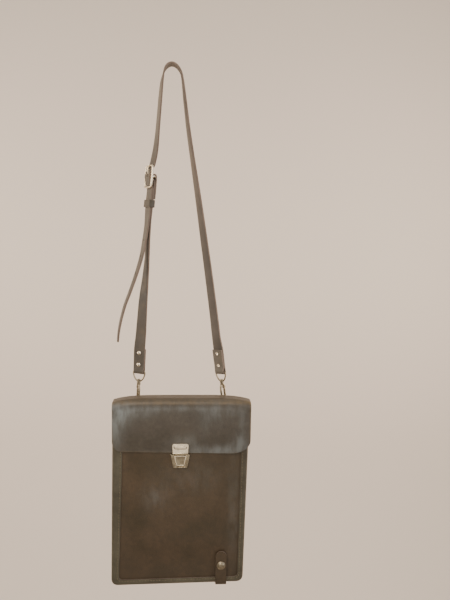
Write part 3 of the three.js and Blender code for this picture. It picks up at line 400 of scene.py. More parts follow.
def leather(tree, base, shade, roughness, low_shade=NO_LOW_SHADE):
    """Waxed full-grain leather: blotches, pebbled grain, rubbed rims and bloom, with painted highlight, sheen
    and low shade.
    """
    colours = bpy.context.scene.map_case_colours
    place = node(tree, "ShaderNodeTexCoord", {}, "Object")
    # Soft blotches of two tones
    wide = {"Vector": place, "Scale": per_metre(MARKS.blotch), "Detail": 5, "Roughness": 0.6}
    blotch = node(tree, "ShaderNodeTexNoise", wide, "Fac")
    tone = node(tree, "ShaderNodeMapRange", {0: blotch, 1: 0.36, 2: 0.64})
    ground = node(tree, "ShaderNodeMix", {0: tone, 6: (*shade, 1), 7: (*base, 1)}, 2, data_type="RGBA")
    # Small flecks, darkened by painted shade lower down and by the painted shade marks on the straps
    small = {"Vector": place, "Scale": per_metre(MARKS.mottle), "Detail": 4, "Roughness": 0.6}
    mottle = node(tree, "ShaderNodeTexNoise", small, "Fac")
    fleck = node(tree, "ShaderNodeMapRange", {0: mottle, 1: 0.3, 2: 0.7, 3: 0.86, 4: 1.14})
    low_shaded = node(tree, "ShaderNodeMath", {0: fleck, 1: low_shade_share(tree, place, low_shade)}, operation="MULTIPLY")
    painted_shade = node(tree, "ShaderNodeAttribute", {}, "Fac", attribute_name="painted_shade")
    unshaded = node(tree, "ShaderNodeMath", {0: 1, 1: painted_shade}, operation="SUBTRACT")
    flecks_and_shade = node(tree, "ShaderNodeMath", {0: low_shaded, 1: unshaded}, operation="MULTIPLY")
    flecked = node(tree, "ShaderNodeVectorMath", {0: ground, "Scale": flecks_and_shade}, operation="SCALE")
    # Rubbed rims that show the paler leather under the wax, partly a painted highlight on the flap's fold,
    # ridge and rims
    wear_and_highlight = node(tree, "ShaderNodeAttribute", {}, "Fac", attribute_name="wear_and_highlight")
    rub = node(tree, "ShaderNodeMapRange", {0: mottle, 1: 0.32, 2: 0.62, 3: 0.45, 4: 1})
    rub_and_highlight = node(tree, "ShaderNodeMath", {0: wear_and_highlight, 1: rub}, operation="MULTIPLY")
    worn = node(tree, "ShaderNodeMix", {0: rub_and_highlight, 6: flecked, 7: (*colours.worn, 1)}, 2, data_type="RGBA")
    # Dull bloom in upright streaks, partly a painted sheen
    upright = {"Vector": place, "Scale": [per_metre(size) for size in MARKS.streak]}
    streaks = {"Vector": node(tree, "ShaderNodeMapping", upright), "Scale": 1, "Detail": 3}
    streak = node(tree, "ShaderNodeTexNoise", streaks, "Fac")
    bloom = node(tree, "ShaderNodeAttribute", {}, "Fac", attribute_name="bloom")
    cloud = node(tree, "ShaderNodeMapRange", {0: streak, 1: 0.36, 2: 0.64, 3: 0.3, 4: 1.05})
    bloom_and_sheen_mask = node(tree, "ShaderNodeMath", {0: bloom, 1: cloud}, operation="MULTIPLY")
    skin = node(tree, "ShaderNodeMix", {0: bloom_and_sheen_mask, 6: worn, 7: (*colours.bloom, 1)}, 2, data_type="RGBA")
    # Pebbled grain with soft creases, glossier where the flecks are dark
    pebble = node(tree, "ShaderNodeTexVoronoi", {"Vector": place, "Scale": 1 / detail().grain}, "Distance")
    creases = {"Vector": place, "Scale": per_metre(MARKS.crease), "Detail": 6, "Distortion": 0.6}
    crease = node(tree, "ShaderNodeTexNoise", creases, "Fac")
    height = node(tree, "ShaderNodeMath", {0: crease, 1: 1.5, 2: pebble}, operation="MULTIPLY_ADD")
    relief = node(tree, "ShaderNodeBump", {"Strength": 0.4, "Distance": 0.3 * MM, "Height": height})
    polish = {0: mottle, 1: 0.3, 2: 0.7, 3: roughness - 0.07, 4: roughness + 0.09}
    gloss = node(tree, "ShaderNodeMapRange", polish)
    join(tree, tree.nodes["Principled BSDF"], {"Base Color": skin, "Roughness": gloss, "Normal": relief})


def fibre(tree, base, size, roughness, low_shade=NO_LOW_SHADE):
    """Bare leather fibre, as on a cut edge or the flesh side: matt, with a short nap."""
    place = node(tree, "ShaderNodeTexCoord", {}, "Object")
    short = {"Vector": place, "Scale": per_metre(size), "Detail": 6, "Roughness": 0.7}
    nap = node(tree, "ShaderNodeTexNoise", short, "Fac")
    patches = {"Vector": place, "Scale": per_metre(MARKS.patch), "Detail": 3}
    patch = node(tree, "ShaderNodeTexNoise", patches, "Fac")
    both = node(tree, "ShaderNodeMath", {0: nap, 1: patch}, operation="ADD")
    tone = node(tree, "ShaderNodeMapRange", {0: both, 1: 0.7, 2: 1.3, 3: 0.72, 4: 1.2})
    # Painted shade lower down on the bare fibre
    low_shaded = node(tree, "ShaderNodeMath", {0: tone, 1: low_shade_share(tree, place, low_shade)}, operation="MULTIPLY")
    skin = node(tree, "ShaderNodeVectorMath", {0: base, "Scale": low_shaded}, operation="SCALE")
    relief = node(tree, "ShaderNodeBump", {"Strength": 0.5, "Distance": 0.2 * MM, "Height": nap})
    join(tree, tree.nodes["Principled BSDF"], {"Base Color": skin, "Roughness": roughness, "Normal": relief})


def nickel_plate(tree, base, tarnish, clear, polish):
    """Nickel-plated steel: pressed and polished, now dulled, with fine rubs and warm tarnish."""
    place = node(tree, "ShaderNodeTexCoord", {}, "Object")
    spots = {"Vector": place, "Scale": per_metre(MARKS.spot), "Detail": 5, "Roughness": 0.65}
    spot = node(tree, "ShaderNodeTexNoise", spots, "Fac")
    dull = node(tree, "ShaderNodeMapRange", {0: spot, 1: clear, 2: clear + 0.28, 3: 0, 4: 0.65})
    skin = node(tree, "ShaderNodeMix", {0: dull, 6: (*base, 1), 7: (*tarnish, 1)}, 2, data_type="RGBA")
    gloss = node(tree, "ShaderNodeMapRange", {0: spot, 1: 0.3, 2: 0.75, 3: polish, 4: polish + 0.22})
    rubs = {"Vector": place, "Scale": per_metre(MARKS.rub), "Detail": 2}
    rub = node(tree, "ShaderNodeTexNoise", rubs, "Fac")
    relief = node(tree, "ShaderNodeBump", {"Strength": 0.08, "Distance": 0.1 * MM, "Height": rub})
    metal = {"Base Color": skin, "Roughness": gloss, "Metallic": 1, "Normal": relief}
    join(tree, tree.nodes["Principled BSDF"], metal)


def waxed_thread(tree, base):
    """Waxed linen thread: a dull wax sheen, and a tone that changes along the row."""
    place = node(tree, "ShaderNodeTexCoord", {}, "Object")
    waves = {"Vector": place, "Scale": per_metre(MARKS.tone), "Distortion": 1}
    wave = node(tree, "ShaderNodeTexWave", waves, "Fac", bands_direction="DIAGONAL")
    tone = node(tree, "ShaderNodeMapRange", {0: wave, 3: 0.75, 4: 1.1})
    skin = node(tree, "ShaderNodeVectorMath", {0: base, "Scale": tone}, operation="SCALE")
    relief = node(tree, "ShaderNodeBump", {"Strength": 0.4, "Distance": 0.2 * MM, "Height": wave})
    join(tree, tree.nodes["Principled BSDF"], {"Base Color": skin, "Roughness": 0.6, "Normal": relief})


def paper(tree, base):
    """Matt paper with a faint unevenness."""
    place = node(tree, "ShaderNodeTexCoord", {}, "Object")
    clouds = {"Vector": place, "Scale": per_metre(MARKS.cloud), "Detail": 2}
    cloud = node(tree, "ShaderNodeTexNoise", clouds, "Fac")
    tone = node(tree, "ShaderNodeMapRange", {0: cloud, 3: 0.97, 4: 1.03})
    skin = node(tree, "ShaderNodeVectorMath", {0: base, "Scale": tone}, operation="SCALE")
    join(tree, tree.nodes["Principled BSDF"], {"Base Color": skin, "Roughness": 0.9})


def finish(name):
    """Material of that name, made when it is first asked for."""
    made = bpy.data.materials.get(name)
    if made:
        return made
    made = bpy.data.materials.new(name)
    made.use_nodes = True
    tree = made.node_tree
    hue = bpy.context.scene.map_case_colours
    makers = {
        # Panel, strap and flesh finishes carry painted shade lower down
        "panel_leather": lambda: leather(tree, hue.panel, hue.panel_shade, roughness=0.52, low_shade=PANEL_LOW_SHADE),
        "border_leather": lambda: leather(tree, hue.border, hue.border_shade, roughness=0.48),
        "flap_leather": lambda: leather(tree, hue.flap, hue.flap_shade, roughness=0.46),
        "strap_leather": lambda: leather(tree, hue.strap, hue.strap_shade, roughness=0.58, low_shade=STRAP_LOW_SHADE),
        # The short strap's finish has a deeper painted shade lower down
        "low_shaded_strap_leather": lambda: leather(
            tree, hue.strap, hue.strap_shade, roughness=0.58, low_shade=SHORT_LOW_SHADE,
        ),
        "keeper_leather": lambda: leather(tree, hue.strap_shade, hue.border_shade, roughness=0.58),
        "cut_edge": lambda: fibre(tree, hue.raw_edge, MARKS.cut, roughness=0.75),
        "flesh_side": lambda: fibre(tree, hue.flesh, MARKS.nap, roughness=0.6, low_shade=FLESH_LOW_SHADE),
        "worn_nickel_plate": lambda: nickel_plate(tree, hue.nickel, hue.tarnish, clear=0.54, polish=0.2),
        "dull_nickel_plate": lambda: nickel_plate(
            tree, hue.dull_nickel, hue.dull_tarnish, clear=0.42, polish=0.3,
        ),
        "waxed_thread": lambda: waxed_thread(tree, hue.thread),
        "pale_paper": lambda: paper(tree, hue.backdrop),
    }
    makers[name]()
    return made


# Shaping


def activate(piece):
    """Makes a piece the only one selected."""
    bpy.ops.object.select_all(action="DESELECT")
    piece.select_set(True)
    bpy.context.view_layer.objects.active = piece


def added(name, operator, **settings):
    """Object that an operator adds, with nothing else selected."""
    bpy.ops.object.select_all(action="DESELECT")
    operator(**settings)
    piece = bpy.context.object
    piece.name = name
    return piece


def edit(piece, *steps):
    """Runs edit-mode steps on the whole of a piece."""
    activate(piece)
    bpy.ops.object.mode_set(mode="EDIT")
    for step, settings in steps:
        bpy.ops.mesh.select_all(action="SELECT")
        step(**settings)
    bpy.ops.object.mode_set(mode="OBJECT")


# Steps that join doubled points and turn every face outward
JOIN_POINTS = (bpy.ops.mesh.remove_doubles, {"threshold": NEW_REACH * MM})
FACE_OUT = (bpy.ops.mesh.normals_make_consistent, {"inside": False})


def shape(piece, kind, **settings):
    """Adds a modifier to a piece and applies it."""
    activate(piece)
    modifier = piece.modifiers.new(kind.title(), kind)
    for name, value in settings.items():
        setattr(modifier, name, value)
    bpy.ops.object.modifier_apply(modifier=modifier.name)


def dress(piece, *names):
    """Gives a piece its finishes, in slot order."""
    piece.data.materials.clear()
    for name in names:
        piece.data.materials.append(finish(name))


def hand_over(piece, body, slot, *nodes):
    """Lets a piece ride on its body in place of the plain solids."""
    activate(piece)
    bpy.ops.object.shade_smooth_by_angle(angle=math.radians(SMOOTH_ANGLE))
    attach(piece, body)
    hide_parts(*nodes)


def paint(piece, name, value_at):
    """Point attribute worked out from each place, in millimetres from the pouch's zero point."""
    layer = piece.data.attributes.new(name, "FLOAT", "POINT")
    values = [value_at(vertex.co / MM - POUCH_ZERO) for vertex in piece.data.vertices]
    layer.data.foreach_set("value", values)


def soft_marks(marks):
    """Function that adds up the marks of a table at a place."""
    def value_at(place):
        total = 0
        for mark in marks:
            across = (place.x - mark.x) / mark.wide
            along = (place.z - mark.z) / mark.tall
            total += mark.strength * math.exp(-across * across - along * along)
        return min(total, 1)
    return value_at


def sheet(name, rows):
    """Grid laid over rows of places in millimetres."""
    counts = {"x_subdivisions": len(rows[0]) - 1, "y_subdivisions": len(rows) - 1}
    piece = added(name, bpy.ops.mesh.primitive_grid_add, **counts)
    piece.data.name = name
    piece.data.vertices.foreach_set("co", [value * MM for row in rows for place in row for value in place])
    piece.data.update()
    return piece


def round_edges(piece, width):
    """Rounds the sharp edges of a piece."""
    shape(
        piece, "BEVEL", limit_method="ANGLE", angle_limit=math.radians(ROUNDED_ANGLE), width=width,
        segments=3, use_clamp_overlap=True,
    )


def leather_wall(name, rows, thickness, grain_side, offset=-1, marks=(), closed=False):
    """Sheet of leather with its thickness, flesh side, cut edges and rounded rims."""
    piece = sheet(name, rows)
    if closed:
        edit(piece, JOIN_POINTS)
    dress(piece, grain_side, "flesh_side", "cut_edge")
    for attribute, value_at in marks:
        paint(piece, attribute, value_at)
    shape(
        piece, "SOLIDIFY", thickness=thickness * MM, offset=offset, use_even_offset=True,
        material_offset=1, material_offset_rim=2,
    )
    round_edges(piece, detail().leather_edge)
    return piece


def node_copy(source, name):
    """Copy of a plain solid with its points merged and its flat faces made whole."""
    piece = bpy.data.objects.new(name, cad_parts[source].data.copy())
    bpy.context.collection.objects.link(piece)
    piece.data.name = name
    edit(
        piece,
        (bpy.ops.mesh.customdata_custom_splitnormals_clear, {}),
        (bpy.ops.mesh.remove_doubles, {"threshold": COPY_REACH * MM}),
        (bpy.ops.mesh.dissolve_limited, {"angle_limit": math.radians(FLAT_ANGLE)}),
    )
    return piece


def wire(name, route, radius, closed=False):
    """Round wire through places in millimetres: a curve made a mesh."""
    piece = added(name, bpy.ops.curve.primitive_bezier_curve_add, location=(0, 0, 0))
    curve = piece.data
    curve.dimensions = "3D"
    curve.fill_mode = "FULL"
    curve.bevel_depth = radius * MM
    curve.bevel_resolution = 3
    curve.resolution_u = 6
    curve.use_fill_caps = True
    spline = curve.splines[0]
    spline.bezier_points.add(len(route) - 2)
    spline.use_cyclic_u = closed
    for point, place in zip(spline.bezier_points, route):
        point.co = place * MM
        point.handle_left_type = "AUTO"
        point.handle_right_type = "AUTO"
    bpy.ops.object.convert(target="MESH")
    edit(piece, JOIN_POINTS)
    return piece


def turned(name, profile, place=Vector((0, 0, 0)), axis=Vector((0, 0, 1))):
    """Turned piece: a disc carried up its profile of radius and height, ring by ring."""
    last_radius, last_height = profile[0]
    piece = added(
        name, bpy.ops.mesh.primitive_circle_add, vertices=detail().sides, radius=last_radius * MM,
        fill_type="NGON", location=(0, 0, 0),
    )
    piece.data.transform(Matrix.Translation((0, 0, last_height * MM)))
    bpy.ops.object.mode_set(mode="EDIT")
    bpy.ops.mesh.select_all(action="SELECT")
    for radius, height in profile[1:]:
        bpy.ops.mesh.extrude_region_move(
            TRANSFORM_OT_translate={"value": (0, 0, (height - last_height) * MM)},
        )
        ratio = radius / last_radius
        bpy.ops.transform.resize(value=(ratio, ratio, 1))
        last_radius, last_height = radius, height
    bpy.ops.object.mode_set(mode="OBJECT")
    edit(piece, FACE_OUT)
    upright = Vector((0, 0, 1)).rotation_difference(axis).to_matrix().to_4x4()
    piece.data.transform(Matrix.Translation(place * MM) @ upright)
    return piece


def collar(name, bore, radius, low, high):
    """Short round sleeve about the Z axis, with eased rims."""
    ease = 0.4
    section = [
        (bore, low), (radius - ease, low), (radius, low + ease),
        (radius, high - ease), (radius - ease, high), (bore, high), (bore, low),
    ]
    sides = detail().sides
    turns = [360 * i / sides for i in range(sides + 1)]
    piece = sheet(name, [[(*circle(reach, turn), level) for reach, level in section] for turn in turns])
    edit(piece, JOIN_POINTS, FACE_OUT)
    return piece


def weld(piece, *others):
    """Joins closed shapes into one body."""
    for other in others:
        shape(piece, "BOOLEAN", operation="UNION", solver="EXACT", object=other)
        bpy.data.objects.remove(other)
    return piece


def pierce(piece, *tools):
    """Cuts closed shapes out of a piece."""
    for tool in tools:
        shape(piece, "BOOLEAN", operation="DIFFERENCE", solver="EXACT", object=tool)
        bpy.data.objects.remove(tool)


# Pouch


def edge_x(side, z, inset_top, inset_low):
    """Left or right edge of the pouch at a height, moved inward."""
    if side == "left":
        share = z / BOTTOM_LEFT.y
        return mix(TOP_LEFT.x, BOTTOM_LEFT.x, share) + mix(inset_top, inset_low, share)
    share = z / BOTTOM_RIGHT.y
    return mix(TOP_RIGHT.x, BOTTOM_RIGHT.x, share) - mix(inset_top, inset_low, share)


def corner(start, control, end):
    """Ten steps round a corner."""
    shares = [i / 10 for i in range(11)]
    return [start * (1 - s) ** 2 + control * 2 * s * (1 - s) + end * s * s for s in shares]


def outline(inset, top, radius):
    """Places round the pouch as (x, z), from the top left round the bottom to the top right."""
    def left(z):
        return Vector((edge_x("left", z, inset.left_top, inset.left_low), z))

    def right(z):
        return Vector((edge_x("right", z, inset.right_top, inset.right_low), z))

    low_left = BOTTOM_LEFT.y + inset.bottom
    low_right = BOTTOM_RIGHT.y + inset.bottom
    foot_left = left(low_left) + Vector((radius, 0))
    foot_right = right(low_right) - Vector((radius, 0))
    down, along = 40, 30
    route = [left(mix(top, low_left + radius, i / down)) for i in range(down)]
    route += corner(left(low_left + radius), left(low_left), foot_left)
    route += [foot_left.lerp(foot_right, i / along) for i in range(1, along)]
    route += corner(foot_right, right(low_right), right(low_right + radius))
    return route + [right(mix(low_right + radius, top, i / down)) for i in range(1, down + 1)]


def front_y(x, z):
    """Outer face of the front wall, swollen in the middle."""
    side = smooth(-abs(x), -SWELL.side_from, -SWELL.side_to)
    upper = smooth(-z, -SWELL.top_from, -SWELL.top_to)
    lower = smooth(z, SWELL.low_from, SWELL.low_to)
    return PANEL_FACE - PANEL.swell * side * upper * lower


def even_inset(value):
    """Inset with one value all round."""
    return Row(left_top=value, left_low=value, bottom=value, right_low=value, right_top=value)


def off_edge(edge, out, reach, y):
    """Place at a depth, moved outward from a place on the pouch's edge."""
    return on_pouch(edge.x + out.x * reach, y, edge.y + out.y * reach)


def border_rows():
    """Outer skin of the gusset, from the border on the front round the side to the back."""
    roll = GUSSET.roll
    outer = outline(even_inset(0), GUSSET.top, CORNER_RADIUS)
    inner = outline(BORDER, GUSSET.top, BORDER.radius)
    back = -BACK_THICKNESS - GAP
    turns = [circle(roll, angle) for angle in range(0, 91, 18)]
    rows = []
    for i, edge in enumerate(outer):
        way = (outer[min(i + 1, len(outer) - 1)] - outer[max(i - 1, 0)]).normalized()
        out = Vector((way.y, -way.x))
        spots = [inner[i].lerp(edge - out * roll, share) for share in (0, 0.15, 0.4, 0.7)]
        row = [on_pouch(spot.x, -DEPTH, spot.y) for spot in spots]
        row += [off_edge(edge, out, up - roll, -DEPTH + roll - across) for across, up in turns]
        levels = [mix(-DEPTH + roll, back - roll, share) for share in (0.25, 0.5, 0.75)]
        row += [off_edge(edge, out, 0, level) for level in levels]
        row += [off_edge(edge, out, across - roll, back - roll + up) for across, up in turns]
        row += [off_edge(edge, out, -mix(roll, GUSSET.back_lap, share), back) for share in (0.5, 1)]
        rows.append(row)
    return rows


def panel_place(across, up):
    """Place on the outer face of the front wall, from shares of its width and height."""
    low = mix(BOTTOM_LEFT.y, BOTTOM_RIGHT.y, across) + PANEL.inset
    z = mix(low, PANEL.top, up)
    over = max(0, PANEL.radius - (z - low))
    pull = PANEL.radius - math.sqrt(max(0, PANEL.radius ** 2 - over * over))
    left = edge_x("left", z, PANEL.inset, PANEL.inset) + pull
    right = edge_x("right", z, PANEL.inset, PANEL.inset) - pull
    x = mix(left, right, across)
    middle = smooth(-abs(x), -DENTS.side_from, -DENTS.side_to) * smooth(z, DENTS.low_from, DENTS.low_to)
    dent = DENTS.depth * noise.noise(Vector((x, 0, z)) / DENTS.size) * middle
    return on_pouch(x, front_y(x, z) - dent, z)


def panel_rows():
    """Outer face of the front wall, from its foot up."""
    wide, tall = PANEL.wide_steps, PANEL.tall_steps
    return [[panel_place(i / wide, j / tall) for i in range(wide + 1)] for j in range(tall + 1)]


def flap_columns():
    """Shares across the flap from right to left, close together at the rounded corners."""
    half = FLAP.half_width
    steps = [1 - math.cos(math.radians(angle)) for angle in range(0, 91, 10)]
    right = [(half - FLAP.right_corner.wide * s) / half for s in steps]
    left = [-(half - FLAP.left_corner.wide * s) / half for s in steps]
    between = [mix(right[-1], left[-1], i / FLAP.wide_steps) for i in range(1, FLAP.wide_steps)]
    return right + between + left[::-1]


def flap_place(u, y, z, front):
    """Place on the flap: sagging ends, a soft swell on the front, drawn in at the lock."""
    x = FLAP.x + u * FLAP.half_width
    edge = abs(u)
    sag = FLAP.sag * edge ** 5 * smooth(z, FLAP.sag_from, FLAP.sag_to)
    wrap = FLAP.edge_wrap * smooth(edge, FLAP.wrap_from, 1) * front
    near = 1 - smooth(math.hypot(x - LOCK.x, z - LOCK.z), FLAP.flat_near, FLAP.flat_far)
    hanging = math.sin(math.pi * min(max(-z / FLAP.drop, 0), 1))
    swell = FLAP.swell * (1 - edge ** 6) * hanging * front
    spot = Vector((x / FLAP.dent_wide, FLAP.dent_layer, z / FLAP.dent_tall))
    dent = FLAP.dent * noise.noise(spot) * hanging * front
    return on_pouch(x, y + wrap - (swell + dent) * (1 - near), z - sag)


def flap_foot(u):
    """Height of the flap's lower edge, which rises round its corners."""
    x = u * FLAP.half_width
    turn = FLAP.left_corner if u < 0 else FLAP.right_corner
    over = max(0, 1 - (FLAP.half_width - abs(x)) / turn.wide)
    lift = turn.tall * (1 - math.sqrt(max(0, 1 - over * over)))
    return -FLAP.drop - FLAP.skew * (FLAP.x + x) + lift


def flap_rows():
    """Outer skin of the flap, from the back lap over the top to the lower front edge."""
    thick = FLAP.thickness
    back_y = GAP + thick
    back_radius = FLAP.back_radius + thick
    front_radius = FLAP.front_radius + thick
    face = FLAP_FACE - thick
    start = back_y - back_radius
    end = face + front_radius
    turns = range(0, 91, 9)
    profile = [(back_y, mix(-FLAP.lap, -FLAP.back_radius, i / 4)) for i in range(4)]
    for across, up in (circle(back_radius, angle) for angle in turns):
        profile.append((start + across, up - FLAP.back_radius))
    profile += [(mix(start, end, i / 6), thick) for i in range(1, 6)]
    for up, across in (circle(front_radius, angle) for angle in turns):
        profile.append((end - across, up - FLAP.front_radius))
    columns = flap_columns()
    rows = [[flap_place(u, y, z, 0) for u in columns] for y, z in profile]
    for share in (j / FLAP.tall_steps for j in range(1, FLAP.tall_steps + 1)):
        front = smooth(share, 0, FLAP.front_share)
        levels = [mix(-FLAP.front_radius, flap_foot(u), share) for u in columns]
        rows.append([flap_place(u, face, z, front) for u, z in zip(columns, levels)])
    return rows


def flap_wear_and_highlight(place):
    """Rubbed fold along the top and rubbed rims, partly a painted highlight."""
    wear_and_highlight = FLAP_WEAR_AND_HIGHLIGHT
    fold = wear_and_highlight.fold * smooth(place.z, wear_and_highlight.fold_from, wear_and_highlight.fold_to)
    above = (place.z - wear_and_highlight.ridge_z) / wear_and_highlight.ridge_reach
    ridge = wear_and_highlight.ridge * math.exp(-above ** 2) * smooth(-place.y, wear_and_highlight.ridge_from, wear_and_highlight.ridge_to)
    edge = FLAP.half_width - abs(place.x - FLAP.x)
    rim = wear_and_highlight.rim * (1 - smooth(edge, 0, wear_and_highlight.rim_reach))
    rise = place.z + FLAP.drop + FLAP.skew * place.x
    front = smooth(-place.y, wear_and_highlight.hem_from, wear_and_highlight.hem_to)
    hem = wear_and_highlight.hem * (1 - smooth(rise, 0, wear_and_highlight.hem_reach)) * front
    return min(fold + ridge + rim + hem, 1)


class MAPCASE_OT_pouch(bpy.types.Operator):
    """Make the back, the front and the gusset of the pouch"""

    bl_idname = "map_case.pouch"
    bl_label = "Pouch"

    def execute(self, context):
        back = node_copy("back_panel", "pouch_back")
        dress(back, "panel_leather", "cut_edge")
        for face in back.data.polygons:
            face.material_index = int(abs(face.normal.y) < RIM_SHARE)
        round_edges(back, detail().leather_edge)
        hand_over(back, "case", "leather_body", "back_panel")
        # The panel's bloom marks are partly a painted sheen
        marks = [("bloom", soft_marks(PANEL_BLOOM_AND_SHEEN))]
        front = leather_wall("pouch_front", panel_rows(), PANEL.thickness, "panel_leather", marks=marks)
        hand_over(front, "case", "leather_body", "front_panel")
        gusset = leather_wall("pouch_gusset", border_rows(), GUSSET.thickness, "border_leather")
        hand_over(gusset, "case", "leather_border", "gusset")
        return {"FINISHED"}


def flap_bloom_and_sheen(place):
    """Bloom, partly a painted sheen, on the front of the flap."""
    return soft_marks(FLAP_BLOOM_AND_SHEEN)(place) * smooth(-place.y, FLAP.bloom_from, FLAP.bloom_to)


class MAPCASE_OT_flap(bpy.types.Operator):
    """Make the flap that folds over the top of the pouch"""

    bl_idname = "map_case.flap"
    bl_label = "Flap"

    def execute(self, context):
        # Bloom marks are partly a painted sheen, and wear marks partly a painted highlight on the fold and
        # rims
        marks = [("bloom", flap_bloom_and_sheen), ("wear_and_highlight", flap_wear_and_highlight)]
        flap = leather_wall("flap_cover", flap_rows(), FLAP.thickness, "flap_leather", marks=marks)
        hand_over(flap, "case", "leather_flap", "flap")
        return {"FINISHED"}


# Stitching


def stitch_row(name, route, face_y):
    """Row of stitches along places (x, z) on a face, modelled once and copied."""
    first = added("stitch", bpy.ops.mesh.primitive_uv_sphere_add, segments=8, ring_count=6, radius=0.5)
    first.data.transform(Matrix.Diagonal((detail().stitch_length, detail().thread, detail().thread, 1)))
    made = []
    left_over = 0
    for start, end in zip(route, route[1:]):
        span = (end - start).length
        turn = -math.atan2(end.y - start.y, end.x - start.x) - math.radians(STITCHES.slant)
        while left_over < span:
            spot = start.lerp(end, left_over / span)
            at = Matrix.Translation(on_pouch(spot.x, face_y, spot.y) * MM)
            stitch = bpy.data.objects.new(name, first.data.copy())
            stitch.data.transform(at @ Matrix.Rotation(turn, 4, "Y"))
            bpy.context.collection.objects.link(stitch)
            made.append(stitch)
            left_over += detail().stitch_pitch / MM
        left_over -= span
    bpy.data.objects.remove(first)
    activate(made[0])
    for stitch in made:
        stitch.select_set(True)
    bpy.ops.object.join()
    row = bpy.context.object
    row.name = name
    dress(row, "waxed_thread")
    bpy.ops.object.shade_smooth()
    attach(row, "case")
    return row


class MAPCASE_OT_stitching(bpy.types.Operator):
    """Sew the border of the pouch and the lap of the flap"""

    bl_idname = "map_case.stitching"
    bl_label = "Stitching"

    def execute(self, context):
        seam = Row(**{key: value - STITCHES.border_in for key, value in vars(BORDER).items()})
        stitch_row("stitches_front", outline(seam, STITCHES.border_top, STITCHES.corner), -DEPTH)
        back = outline(even_inset(STITCHES.back_in), STITCHES.back_top, STITCHES.corner)
        stitch_row("stitches_back", back, 0)
        half = FLAP.half_width - STITCHES.lap_in
        level = -FLAP.lap + STITCHES.lap_rise
        lap = [Vector((FLAP.x + side * half, level)) for side in (-1, 1)]
        stitch_row("stitches_lap", lap, GAP + FLAP.thickness)
        return {"FINISHED"}


# Strips


def route_point(route, spot):
    """Place on a centripetal curve through places, at a number of spans along it."""
    low = min(int(spot), len(route) - 2)
    share = spot - low
    p1, p2 = route[low], route[low + 1]
    p0 = route[low - 1] if low > 0 else p1 * 2 - p2
    p3 = route[low + 2] if low + 2 < len(route) else p2 * 2 - p1
    least = 0.0001
    d0, d1, d2 = (max((b - a).length ** 0.5, least) for a, b in ((p0, p1), (p1, p2), (p2, p3)))
    m1 = ((p1 - p0) / d0 - (p2 - p0) / (d0 + d1) + (p2 - p1) / d1) * d1
    m2 = ((p2 - p1) / d1 - (p3 - p1) / (d1 + d2) + (p3 - p2) / d2) * d1
    s2 = share * share
    s3 = s2 * share
    return p1 * (2 * s3 - 3 * s2 + 1) + m1 * (s3 - 2 * s2 + share) + p2 * (3 * s2 - 2 * s3) + m2 * (s3 - s2)


def strip_rows(stations, cuts):
    """Rows across a strip that runs through stations of place, across direction and width."""
    route = [station.at for station in stations]
    spans = len(stations) - 1
    nudge = 0.01
    rows = []
    for i in range(spans * cuts + 1):
        spot = i / cuts
        low = min(int(spot), spans - 1)
        share = spot - low
        middle = route_point(route, spot)
        way = route_point(route, min(spot + nudge, spans)) - route_point(route, max(spot - nudge, 0))
        way.normalize()
        across = stations[low].across.lerp(stations[low + 1].across, share)
        across = (across - way * across.dot(way)).normalized()
        half = mix(stations[low].width, stations[low + 1].width, share) / 2
        rows.append([middle + across * half * side for side in STRIP_SHARES])
    return rows


def side_stations(route, x, width):
    """Stations of a strip that runs in the side plane of the pouch."""
    across = Vector((-1, 0, 0))
    return [
        Row(at=on_pouch(x, row.y, row.z), across=across, width=getattr(row, "width", width)) for row in route
    ]


def press_stud():
    """Press stud: a washer behind the front wall, a socket, a post and a stepped cap."""
    cap, post, socket, washer = STUD.cap, STUD.post, STUD.socket, STUD.washer
    face = -TAB.face + TAB.thickness / 2 + STUD.cap_lift
    inner = -TAB.face - TAB.thickness / 2 - GAP
    wall_out = -front_y(TAB.x - socket, STUD.z + socket) + GAP
    wall_in = -front_y(TAB.x + washer, STUD.z - washer) - PANEL.thickness - GAP
    foot = wall_in - STUD.washer_rise
    profile = [
        (TIP, foot), (washer, foot), (washer, wall_in), (post, wall_in), (post, wall_out), (socket, wall_out),
        (socket, inner), (post, inner), (post, face), (cap * STUD.cap_foot, face),
        (cap, face + STUD.cap_ease), (cap, face + STUD.cap_rim),
    ]
    profile += [(cap * row.wide, face + STUD.cap_rise * row.tall) for row in STUD_DOME]
    return turned("press_stud_cap", profile, on_pouch(TAB.x, 0, STUD.z), Vector((0, -1, 0)))


class MAPCASE_OT_closing_tab(bpy.types.Operator):
    """Make the closing tab and its press stud"""

    bl_idname = "map_case.closing_tab"
    bl_label = "Closing tab"

    def execute(self, context):
        arc = [circle(TAB.width / 2, angle) for angle in (0, 18, 36, 52, 66, 78, 86)]
        end = [Row(y=TAB.face, z=TAB.end + up, width=2 * across) for across, up in arc]
        rows = strip_rows(side_stations(TAB_ROUTE + end, TAB.x, TAB.width), cuts=3)
        tab = leather_wall("closing_tab_leather", rows, TAB.thickness, "panel_leather", offset=0)
        hand_over(tab, "case", "leather_body", "closing_tab")
        stud = press_stud()
        dress(stud, "dull_nickel_plate")
        hand_over(stud, "case", "nickel", "press_stud")
        return {"FINISHED"}


